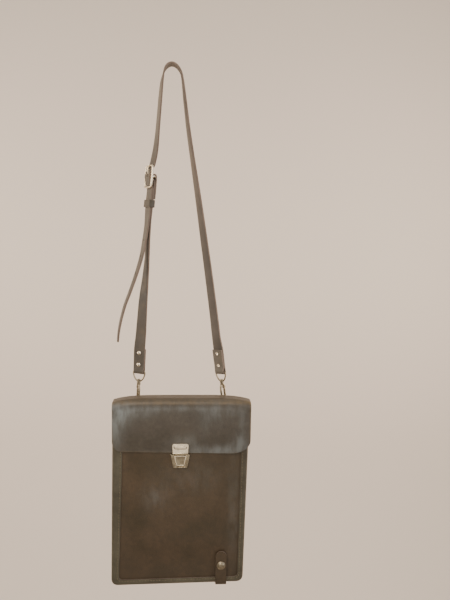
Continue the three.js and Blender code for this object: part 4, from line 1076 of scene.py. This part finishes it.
class MAPCASE_OT_lock(bpy.types.Operator):
    """Finish the plate, the base and the slide of the tuck lock"""

    bl_idname = "map_case.lock"
    bl_label = "Tuck lock"

    def execute(self, context):
        parts = [("lock_plate", "case"), ("lock_base", "case"), ("lock_slide", "lock_slide")]
        for source, body in parts:
            piece = node_copy(source, source + "_pressed")
            dress(piece, "worn_nickel_plate", "dull_nickel_plate")
            round_edges(piece, detail().metal_edge)
            self.dull_faces(piece, source)
            # The plate's dull groove paints the shadow under its bar
            if source == "lock_plate":
                pierce(piece, self.groove())
            hand_over(piece, body, "nickel", source)
        return {"FINISHED"}

    def groove(self):
        """Wire that sinks a dull groove into the plate under its raised bar, as a painted shadow under the
        bar.
        """
        face = FLAP_FACE - FLAP.thickness - GAP - LOCK.plate
        route = []
        for side, first in ((-1, 160), (1, -90)):
            for step in range(0, 111, 22):
                across, up = circle(LOCK.bar_half + LOCK.groove_out, first + step)
                route.append(on_pouch(LOCK.x + side * LOCK.bar_reach + across, face, LOCK.bar_z + up))
        tool = wire("groove", route, LOCK.groove)
        dress(tool, "worn_nickel_plate", "dull_nickel_plate")
        for polygon in tool.data.polygons:
            polygon.material_index = 1
        return tool

    def dull_faces(self, piece, source):
        """Leaves the front of the base, the slide's hollow and the plate's lip dull, where no thumb rubs."""
        front = min(vertex.co.y for vertex in piece.data.vertices)
        for face in piece.data.polygons:
            sunk = (face.center.y - front) / MM
            hollow = source == "lock_slide" and LOCK.hollow_from < sunk < LOCK.sunk_to
            lip = source == "lock_base" or LOCK.sunk_from < sunk < LOCK.sunk_to
            face.material_index = int(hollow or lip and face.normal.y < -FRONT_SHARE)


# Rings, loops and hooks


def rivet(name, place, axis, grip):
    """Domed rivet through two layers, with its dished back."""
    back, shank, head, rim = RIVET.back, RIVET.shank, RIVET.head, RIVET.rim
    profile = [(TIP, -grip - RIVET.back_rise)]
    profile += [(back * row.wide, -grip - RIVET.back_rise * row.tall) for row in RIVET_BACK]
    profile += [(back, -grip - RIVET.back_rim), (back, -grip), (shank, -grip)]
    profile += [(shank, grip), (head, grip), (head, grip + rim)]
    for across, up in (circle(1, angle) for angle in (18, 36, 54, 72, 89)):
        profile.append((head * across, grip + rim + (RIVET.dome - rim) * up))
    piece = turned(name, profile, place, axis)
    dress(piece, "worn_nickel_plate")
    return piece


def hanger_matrix(hanger, turn):
    """Stands a hook or loop on its ring, leaned and turned as it hangs."""
    at = on_pouch(hanger.x, HANGER.y, HANGER.z)
    lean = Matrix.Rotation(math.radians(hanger.lean), 4, "Y")
    return Matrix.Translation(at) @ lean @ Matrix.Rotation(math.radians(turn), 4, "Z")


def stand(piece, matrix):
    """Moves a piece's points by a matrix in millimetres."""
    moved = matrix.copy()
    moved.translation = moved.translation * MM
    piece.data.transform(moved)


def case_ring(hanger):
    """D ring held by its tab on the back."""
    half = RING.half_width
    foot = on_pouch(hanger.x, RING.bar_y, RING.bar_z)
    up = Vector((0, RING.top_y - RING.bar_y, RING.top_z - RING.bar_z))
    arc = up.length - half
    up.normalize()

    def at(across, rise):
        return foot + Vector((across, 0, 0)) + up * rise

    bow = [at(across, arc + rise) for across, rise in (circle(half, angle) for angle in range(0, 181, 30))]
    bar = [at(RING.corner - half, 0), at(0, 0), at(half - RING.corner, 0)]
    route = [*bar, at(half, RING.corner), *bow, at(-half, RING.corner)]
    return wire("d_ring_" + hanger.side, route, RING.wire, closed=True)


class MAPCASE_OT_ring_tabs(bpy.types.Operator):
    """Make the ring tabs on the back with their rings and rivets"""

    bl_idname = "map_case.ring_tabs"
    bl_label = "Ring tabs"

    def execute(self, context):
        folded = 2 * RING_TAB.thickness + 2 * GAP
        grip = (BACK_THICKNESS + folded) / 2 + GAP
        for hanger in HANGERS:
            side = hanger.side
            rows = strip_rows(side_stations(RING_TAB_ROUTE, hanger.x, RING_TAB.width), cuts=3)
            name = "ring_tab_leather_" + side
            tab = leather_wall(name, rows, RING_TAB.thickness, "panel_leather", offset=0)
            hand_over(tab, "case", "leather_body", "ring_tab_" + side)
            ring = case_ring(hanger)
            dress(ring, "dull_nickel_plate")
            hand_over(ring, "case", "nickel", "case_ring_" + side)
            middle = on_pouch(hanger.x, folded - grip + GAP, RING_TAB.rivet_z)
            head = rivet("ring_tab_rivet_" + side, middle, Vector((0, 1, 0)), grip)
            hand_over(head, "case", "nickel", "ring_rivet_" + side)
        return {"FINISHED"}


def strap_loop(name):
    """Wire loop for the strap end with its swivel collar."""
    top = HANGER.length
    left = [Vector((-row.x, 0, top + row.z)) for row in LOOP_HALF]
    right = [Vector((row.x, 0, top + row.z)) for row in LOOP_HALF[::-1]]
    bow = wire(name, [*left, Vector((0, 0, top)), *right], LOOP.wire)
    sleeve = collar("sleeve", LOOP.bore, LOOP.collar, top + LOOP.collar_low, top + LOOP.collar_top)
    pierce(bow, turned("bore", [(LOOP.bore, top + LOOP.bore_low), (LOOP.bore, top + LOOP.bore_top)]))
    return weld(bow, sleeve)


def hook_post():
    """Swivel post of a snap hook, with its shoulder under the collar and its head above it."""
    post, shoulder = HOOK.post, HOOK.shoulder
    top = HANGER.length + LOOP.collar_top + GAP
    low = HANGER.length + LOOP.collar_low - GAP
    foot = low - HOOK.shoulder_drop
    waist = shoulder - HOOK.shoulder_ease
    profile = [
        (post, HOOK.post_foot), (post, foot), (waist, foot), (shoulder, foot + HOOK.shoulder_foot),
        (shoulder, low - HOOK.shoulder_ease), (waist, low), (post, low), (post, top),
    ]
    return turned("post", profile + [(row.radius, top + row.rise) for row in HOOK_HEAD])


def hook_body(name):
    """Snap hook: swivel post, shoulder, bow and the ears of its gate."""
    def pivot(y):
        return Vector((HOOK.pivot_x, y, HOOK.pivot_z))

    def crown(y):
        return Vector((HOOK.yoke_x, y, HOOK.yoke_z))

    bow = wire(name, [Vector((row.x, 0, row.z)) for row in HOOK_ROUTE], HOOK.wire)
    inner = HOOK.knuckle_half + GAP
    middle = inner + HOOK.ear / 2
    outer = inner + HOOK.ear
    rim = HOOK.knuckle
    face = rim - HOOK.ear_ease
    disc = [(face, inner), (rim, inner + HOOK.ear_ease), (rim, outer - HOOK.ear_ease), (face, outer)]
    parts = [hook_post()]
    for side in (-1, 1):
        parts.append(turned("ear", disc, pivot(0), Vector((0, side, 0))))
        parts.append(wire("arm", [crown(side * middle), pivot(side * middle)], HOOK.arm))
    parts.append(wire("pin", [pivot(-middle), pivot(middle)], HOOK.pin))
    parts.append(wire("yoke", [crown(-outer), crown(outer)], HOOK.yoke))
    return weld(bow, *parts)


def hook_gate(name):
    """Gate of the snap hook: a flat leaf with its knuckle and thumb stud."""
    knuckle = collar(name, HOOK.pin + GAP, HOOK.knuckle, -HOOK.knuckle_half, HOOK.knuckle_half)
    knuckle.data.transform(Matrix.Rotation(math.radians(90), 4, "X"))
    knuckle.data.transform(Matrix.Translation(Vector((HOOK.pivot_x, 0, HOOK.pivot_z)) * MM))
    axes = Row(
        at=Vector((HOOK.pivot_x, 0, 0)), across=Vector((0, 1, 0)), out=Vector((1, 0, 0)),
        along=Vector((0, 0, 1)),
    )
    thick = {"n_low": -GATE.thickness / 2, "n_high": GATE.thickness / 2}
    leaf = block(axes, Row(half=GATE.width / 2, u_low=GATE.end, u_high=GATE.top, **thick))
    neck_low = GATE.top - GATE.neck_overlap
    neck_top = HOOK.pivot_z - HOOK.pin - GAP
    neck = block(axes, Row(half=HOOK.knuckle_half, u_low=neck_low, u_high=neck_top, **thick))
    round_edges(leaf, GATE.edge * MM)
    way = Vector((GATE.thumb_reach, 0, GATE.thumb_rise))
    profile = [(GATE.thumb, 0), (GATE.thumb, way.length - GATE.thumb_ease), (GATE.thumb_tip, way.length)]
    thumb = turned("thumb", profile, Vector((HOOK.pivot_x, 0, GATE.thumb_z)), way.normalized())
    return weld(knuckle, leaf, neck, thumb)


class MAPCASE_OT_swivel_hooks(bpy.types.Operator):
    """Make the strap loops, the snap hooks and their gates"""

    bl_idname = "map_case.swivel_hooks"
    bl_label = "Swivel hooks"

    def execute(self, context):
        for hanger in HANGERS:
            side = hanger.side
            gate = "hook_gate_" + side
            parts = [
                (strap_loop("strap_loop_wire_" + side), hanger.loop_turn, "case", "strap_loop_" + side),
                (hook_body("snap_hook_bow_" + side), hanger.hook_turn, "case", "snap_hook_" + side),
                (hook_gate("hook_gate_leaf_" + side), hanger.hook_turn, gate, gate),
            ]
            for piece, turn, body, source in parts:
                stand(piece, hanger_matrix(hanger, turn))
                dress(piece, "dull_nickel_plate")
                hand_over(piece, body, "nickel", source)
        return {"FINISHED"}


# Straps and buckle


def across_at(turn):
    """Direction across a strap whose outer face is turned away from the side."""
    return Vector((math.sin(math.radians(turn)), -math.cos(math.radians(turn)), 0))


def strap_width(row):
    """Width of the strap at a row of its route."""
    return getattr(row, "width", STRAP.width)


def route_stations(rows):
    """Stations of a free run of strap."""
    return [
        Row(at=Vector((row.x, row.y, row.z)), across=across_at(row.turn), width=strap_width(row))
        for row in rows
    ]


def end_axes(hanger):
    """Middle of a loop's bar with the ways along, across and out of the strap end."""
    matrix = hanger_matrix(hanger, hanger.loop_turn)
    across, side, along = (matrix.to_3x3().col[i].copy() for i in range(3))
    at = matrix @ Vector((0, 0, HANGER.length))
    return Row(at=at, along=along, across=across, out=side * hanger.outward)


def buckle_axes():
    """Middle of the buckle's bar with the ways along, across and out of the strap."""
    lean = math.radians(BUCKLE.lean)
    along = Vector((math.sin(lean), 0, math.cos(lean)))
    across = across_at(BUCKLE.turn)
    across = (across - along * across.dot(along)).normalized()
    return Row(at=BUCKLE.place, along=along, across=across, out=across.cross(along))


def spot_at(axes, across, n, u):
    """Place measured from a bar: across, outward and along."""
    return axes.at + axes.across * across + axes.out * n + axes.along * u


def axes_stations(axes, rows):
    """Stations of a strap end that folds round a bar."""
    return [
        Row(at=spot_at(axes, 0, row.n, row.u), across=axes.across, width=strap_width(row)) for row in rows
    ]


def block(axes, size):
    """Square-edged block in a set of axes: a punch, or the start of a flat piece."""
    piece = added("block", bpy.ops.mesh.primitive_cube_add, size=1)
    reach = Matrix.Diagonal((2 * size.half, size.n_high - size.n_low, size.u_high - size.u_low, 1))
    turn = Matrix((axes.across, axes.out, axes.along)).transposed().to_4x4()
    middle = spot_at(axes, 0, (size.n_low + size.n_high) / 2, (size.u_low + size.u_high) / 2)
    piece.data.transform(Matrix.Scale(MM, 4) @ Matrix.Translation(middle) @ turn @ reach)
    edit(piece, FACE_OUT)
    return piece


def strap_wear(place):
    """Light rubs that come and go along the strap."""
    return STRAP_WEAR.strength * smooth(noise.noise(place / STRAP_WEAR.size), STRAP_WEAR.low, STRAP_WEAR.high)


def strap(name, stations, grain_side):
    """Strap leather through stations."""
    # The marks paint rubs, and painted shade round the buckle and where the short strap turns
    marks = [("wear_and_highlight", strap_wear), ("painted_shade", soft_marks(STRAP_PAINTED_SHADE))]
    rows = strip_rows(stations, cuts=4)
    return leather_wall(name, rows, STRAP.thickness, grain_side, offset=0, marks=marks)


class MAPCASE_OT_straps(bpy.types.Operator):
    """Make the long and the short strap with their rivets"""

    bl_idname = "map_case.straps"
    bl_label = "Straps"

    def execute(self, context):
        left, right = (end_axes(hanger) for hanger in HANGERS)
        buckle = buckle_axes()
        tail = route_stations(TAIL)
        stations = axes_stations(right, END_FOLD[::-1]) + route_stations(RIGHT_LEG + ARCH + LEFT_LEG)
        long_strap = strap("strap_long", stations + axes_stations(buckle, WEAVE) + tail, "strap_leather")
        self.punch_tail(long_strap, tail)
        pierce(long_strap, block(buckle, PRONG_HOLE))
        hand_over(long_strap, "case", "leather_strap", "long_strap")
        stations = axes_stations(buckle, BUCKLE_FOLD) + route_stations(SHORT_LEG)
        short_strap = strap("strap_short", stations + axes_stations(left, END_FOLD), "low_shaded_strap_leather")
        pierce(short_strap, block(buckle, PRONG_SLOT))
        hand_over(short_strap, "case", "leather_strap", "short_strap")
        grip = STRAP.thickness + GAP / 2
        for side, axes in (("left", left), ("right", right)):
            for level in ("low", "high"):
                name = f"strap_rivet_{side}_{level}"
                head = rivet(name + "_dome", spot_at(axes, 0, 0, getattr(RIVET, level)), axes.out, grip)
                hand_over(head, "case", "nickel", name)
        return {"FINISHED"}

    def punch_tail(self, piece, tail):
        """Punches the row of holes in the free end."""
        reach = STRAP.thickness * 2
        hole = [(TAIL_HOLES.radius, -reach), (TAIL_HOLES.radius, reach)]
        for i in range(TAIL_HOLES.first, TAIL_HOLES.first + TAIL_HOLES.count):
            way = (tail[i + 1].at - tail[i - 1].at).normalized()
            out = way.cross(tail[i].across).normalized()
            pierce(piece, turned("hole", hole, tail[i].at, out))


class MAPCASE_OT_buckle(bpy.types.Operator):
    """Make the buckle, its prong and the keeper"""

    bl_idname = "map_case.buckle"
    bl_label = "Buckle"

    def execute(self, context):
        axes = buckle_axes()
        for piece, source in ((self.rim(axes), "buckle_frame"), (self.tongue(axes), "buckle_prong")):
            dress(piece, "worn_nickel_plate")
            hand_over(piece, "case", "nickel", source)
        hand_over(self.keeper(axes), "case", "leather_strap", "keeper")
        return {"FINISHED"}

    def rim(self, axes):
        """Squared rim with its sunk middle bar."""
        def squared(value):
            return math.copysign(abs(value) ** BUCKLE.square, value)

        wide, tall = BUCKLE.half_width, BUCKLE.half_length
        route = []
        for i in range(BUCKLE.steps):
            across, up = circle(1, 360 * (i + 0.5) / BUCKLE.steps)
            route.append(spot_at(axes, wide * squared(across), BUCKLE.lift, tall * squared(up)))
        left, right = ([spot_at(axes, side * row.across, row.n, 0) for row in BUCKLE_BAR] for side in (-1, 1))
        rim = wire("buckle_rim", route, BUCKLE.wire, closed=True)
        return weld(rim, wire("bar", left + right[::-1], BUCKLE.wire))

    def tongue(self, axes):
        """Prong that rests on the rim, with its eye round the bar."""
        route = [spot_at(axes, 0, row.n, row.u) for row in PRONG_ROUTE]
        eye = [spot_at(axes, 0, *circle(PRONG.eye, angle)) for angle in range(0, 360, 30)]
        shank = wire("buckle_tongue", route, PRONG.wire)
        return weld(shank, wire("eye", eye, PRONG.wire, closed=True))

    def keeper(self, axes):
        """Leather loop that holds the strap end down."""
        bend = KEEPER.corner
        wide = KEEPER.half_width + KEEPER.thickness - bend
        low = KEEPER.back - KEEPER.thickness + bend
        high = KEEPER.front + KEEPER.thickness - bend
        loop = []
        for side, level, first in ((wide, high, 0), (-wide, high, 90), (-wide, low, 180), (wide, low, 270)):
            for across, up in (circle(bend, first + step) for step in (0, 30, 60, 90)):
                loop.append((side + across, level + up))
        ends = [KEEPER.u + KEEPER.height * share for share in (-0.5, -0.4, 0, 0.4, 0.5)]
        rows = [[spot_at(axes, across, n, u) for u in ends] for across, n in loop + loop[:1]]
        return leather_wall("strap_keeper", rows, KEEPER.thickness, "keeper_leather", closed=True)


# Stage


class MAPCASE_OT_stage(bpy.types.Operator):
    """Set up the camera, the soft light and the pale backdrop"""

    bl_idname = "map_case.stage"
    bl_label = "Stage"

    def execute(self, context):
        self.camera()
        self.backdrop()
        self.lights()
        return {"FINISHED"}

    def camera(self):
        """Camera at the viewing angle of the picture."""
        yaw, pitch, roll = (math.radians(angle) for angle in (CAMERA.yaw, CAMERA.pitch, CAMERA.roll))
        ahead = Vector((math.sin(yaw) * math.cos(pitch), math.cos(yaw) * math.cos(pitch), -math.sin(pitch)))
        level = Vector((math.cos(yaw), -math.sin(yaw), 0))
        above = level.cross(ahead)
        right = level * math.cos(roll) + above * math.sin(roll)
        up = above * math.cos(roll) - level * math.sin(roll)
        camera = added("camera", bpy.ops.object.camera_add)
        turn = Matrix((right, up, -ahead)).transposed().to_4x4()
        camera.matrix_world = Matrix.Translation(CAMERA.place * MM) @ turn
        camera.data.lens = CAMERA.lens
        camera.data.sensor_width = CAMERA.sensor
        camera.data.clip_start = CAMERA.near
        bpy.context.scene.camera = camera

    def backdrop(self):
        """Pale floor that sweeps up into a wall well behind."""
        bend = [circle(SWEEP.bend, 90 * i / SWEEP.steps - 90) for i in range(SWEEP.steps + 1)]
        profile = [(SWEEP.near, SWEEP.floor)]
        profile += [(SWEEP.wall - SWEEP.bend + y, SWEEP.floor + SWEEP.bend + z) for y, z in bend]
        profile.append((SWEEP.wall, SWEEP.top))
        floor = sheet("backdrop", [[(x, y, z) for x in (-SWEEP.half, SWEEP.half)] for y, z in profile])
        bpy.ops.object.shade_smooth()
        dress(floor, "pale_paper")

    def lights(self):
        """Large soft lights round the case and on the wall, in a pale room."""
        world = bpy.data.worlds.new("pale_room")
        world.use_nodes = True
        ground = world.node_tree.nodes["Background"]
        ground.inputs["Color"].default_value = (*linear(ROOM.colour), 1)
        ground.inputs["Strength"].default_value = ROOM.strength
        bpy.context.scene.world = world
        for lamp in LAMPS:
            light = added("light_" + lamp.name, bpy.ops.object.light_add, type="AREA", location=lamp.at)
            light.data.size = lamp.size
            light.data.energy = lamp.watts
            light.data.color = linear(lamp.colour)
            way = lamp.aim - Vector(lamp.at)
            light.rotation_euler = way.to_track_quat("-Z", "Y").to_euler()


OPERATORS = (
    MAPCASE_OT_stage, MAPCASE_OT_pouch, MAPCASE_OT_flap, MAPCASE_OT_stitching, MAPCASE_OT_closing_tab,
    MAPCASE_OT_lock, MAPCASE_OT_ring_tabs, MAPCASE_OT_swivel_hooks, MAPCASE_OT_straps, MAPCASE_OT_buckle,
)


class MAPCASE_PT_parts(bpy.types.Panel):
    """Lists the settings and the pieces of the map case"""

    bl_idname = "MAPCASE_PT_parts"
    bl_label = "Map case"
    bl_space_type = "VIEW_3D"
    bl_region_type = "UI"
    bl_category = "Map case"

    def draw(self, context):
        for settings in (context.scene.map_case_sizes, context.scene.map_case_colours):
            for name in settings.__annotations__:
                self.layout.prop(settings, name)
        for operator in OPERATORS:
            self.layout.operator(operator.bl_idname)


CLASSES = (MapCaseSizes, MapCaseColours, *OPERATORS, MAPCASE_PT_parts)


def register():
    """Registers the classes and their settings."""
    for cls in CLASSES:
        bpy.utils.register_class(cls)
    bpy.types.Scene.map_case_sizes = PointerProperty(type=MapCaseSizes)
    bpy.types.Scene.map_case_colours = PointerProperty(type=MapCaseColours)


def unregister():
    """Removes the settings and the classes."""
    del bpy.types.Scene.map_case_colours
    del bpy.types.Scene.map_case_sizes
    for cls in reversed(CLASSES):
        bpy.utils.unregister_class(cls)


def main():
    """Builds every piece in order."""
    register()
    for operator in OPERATORS:
        category, name = operator.bl_idname.split(".")
        getattr(getattr(bpy.ops, category), name)()


if __name__ == "__main__":
    main()
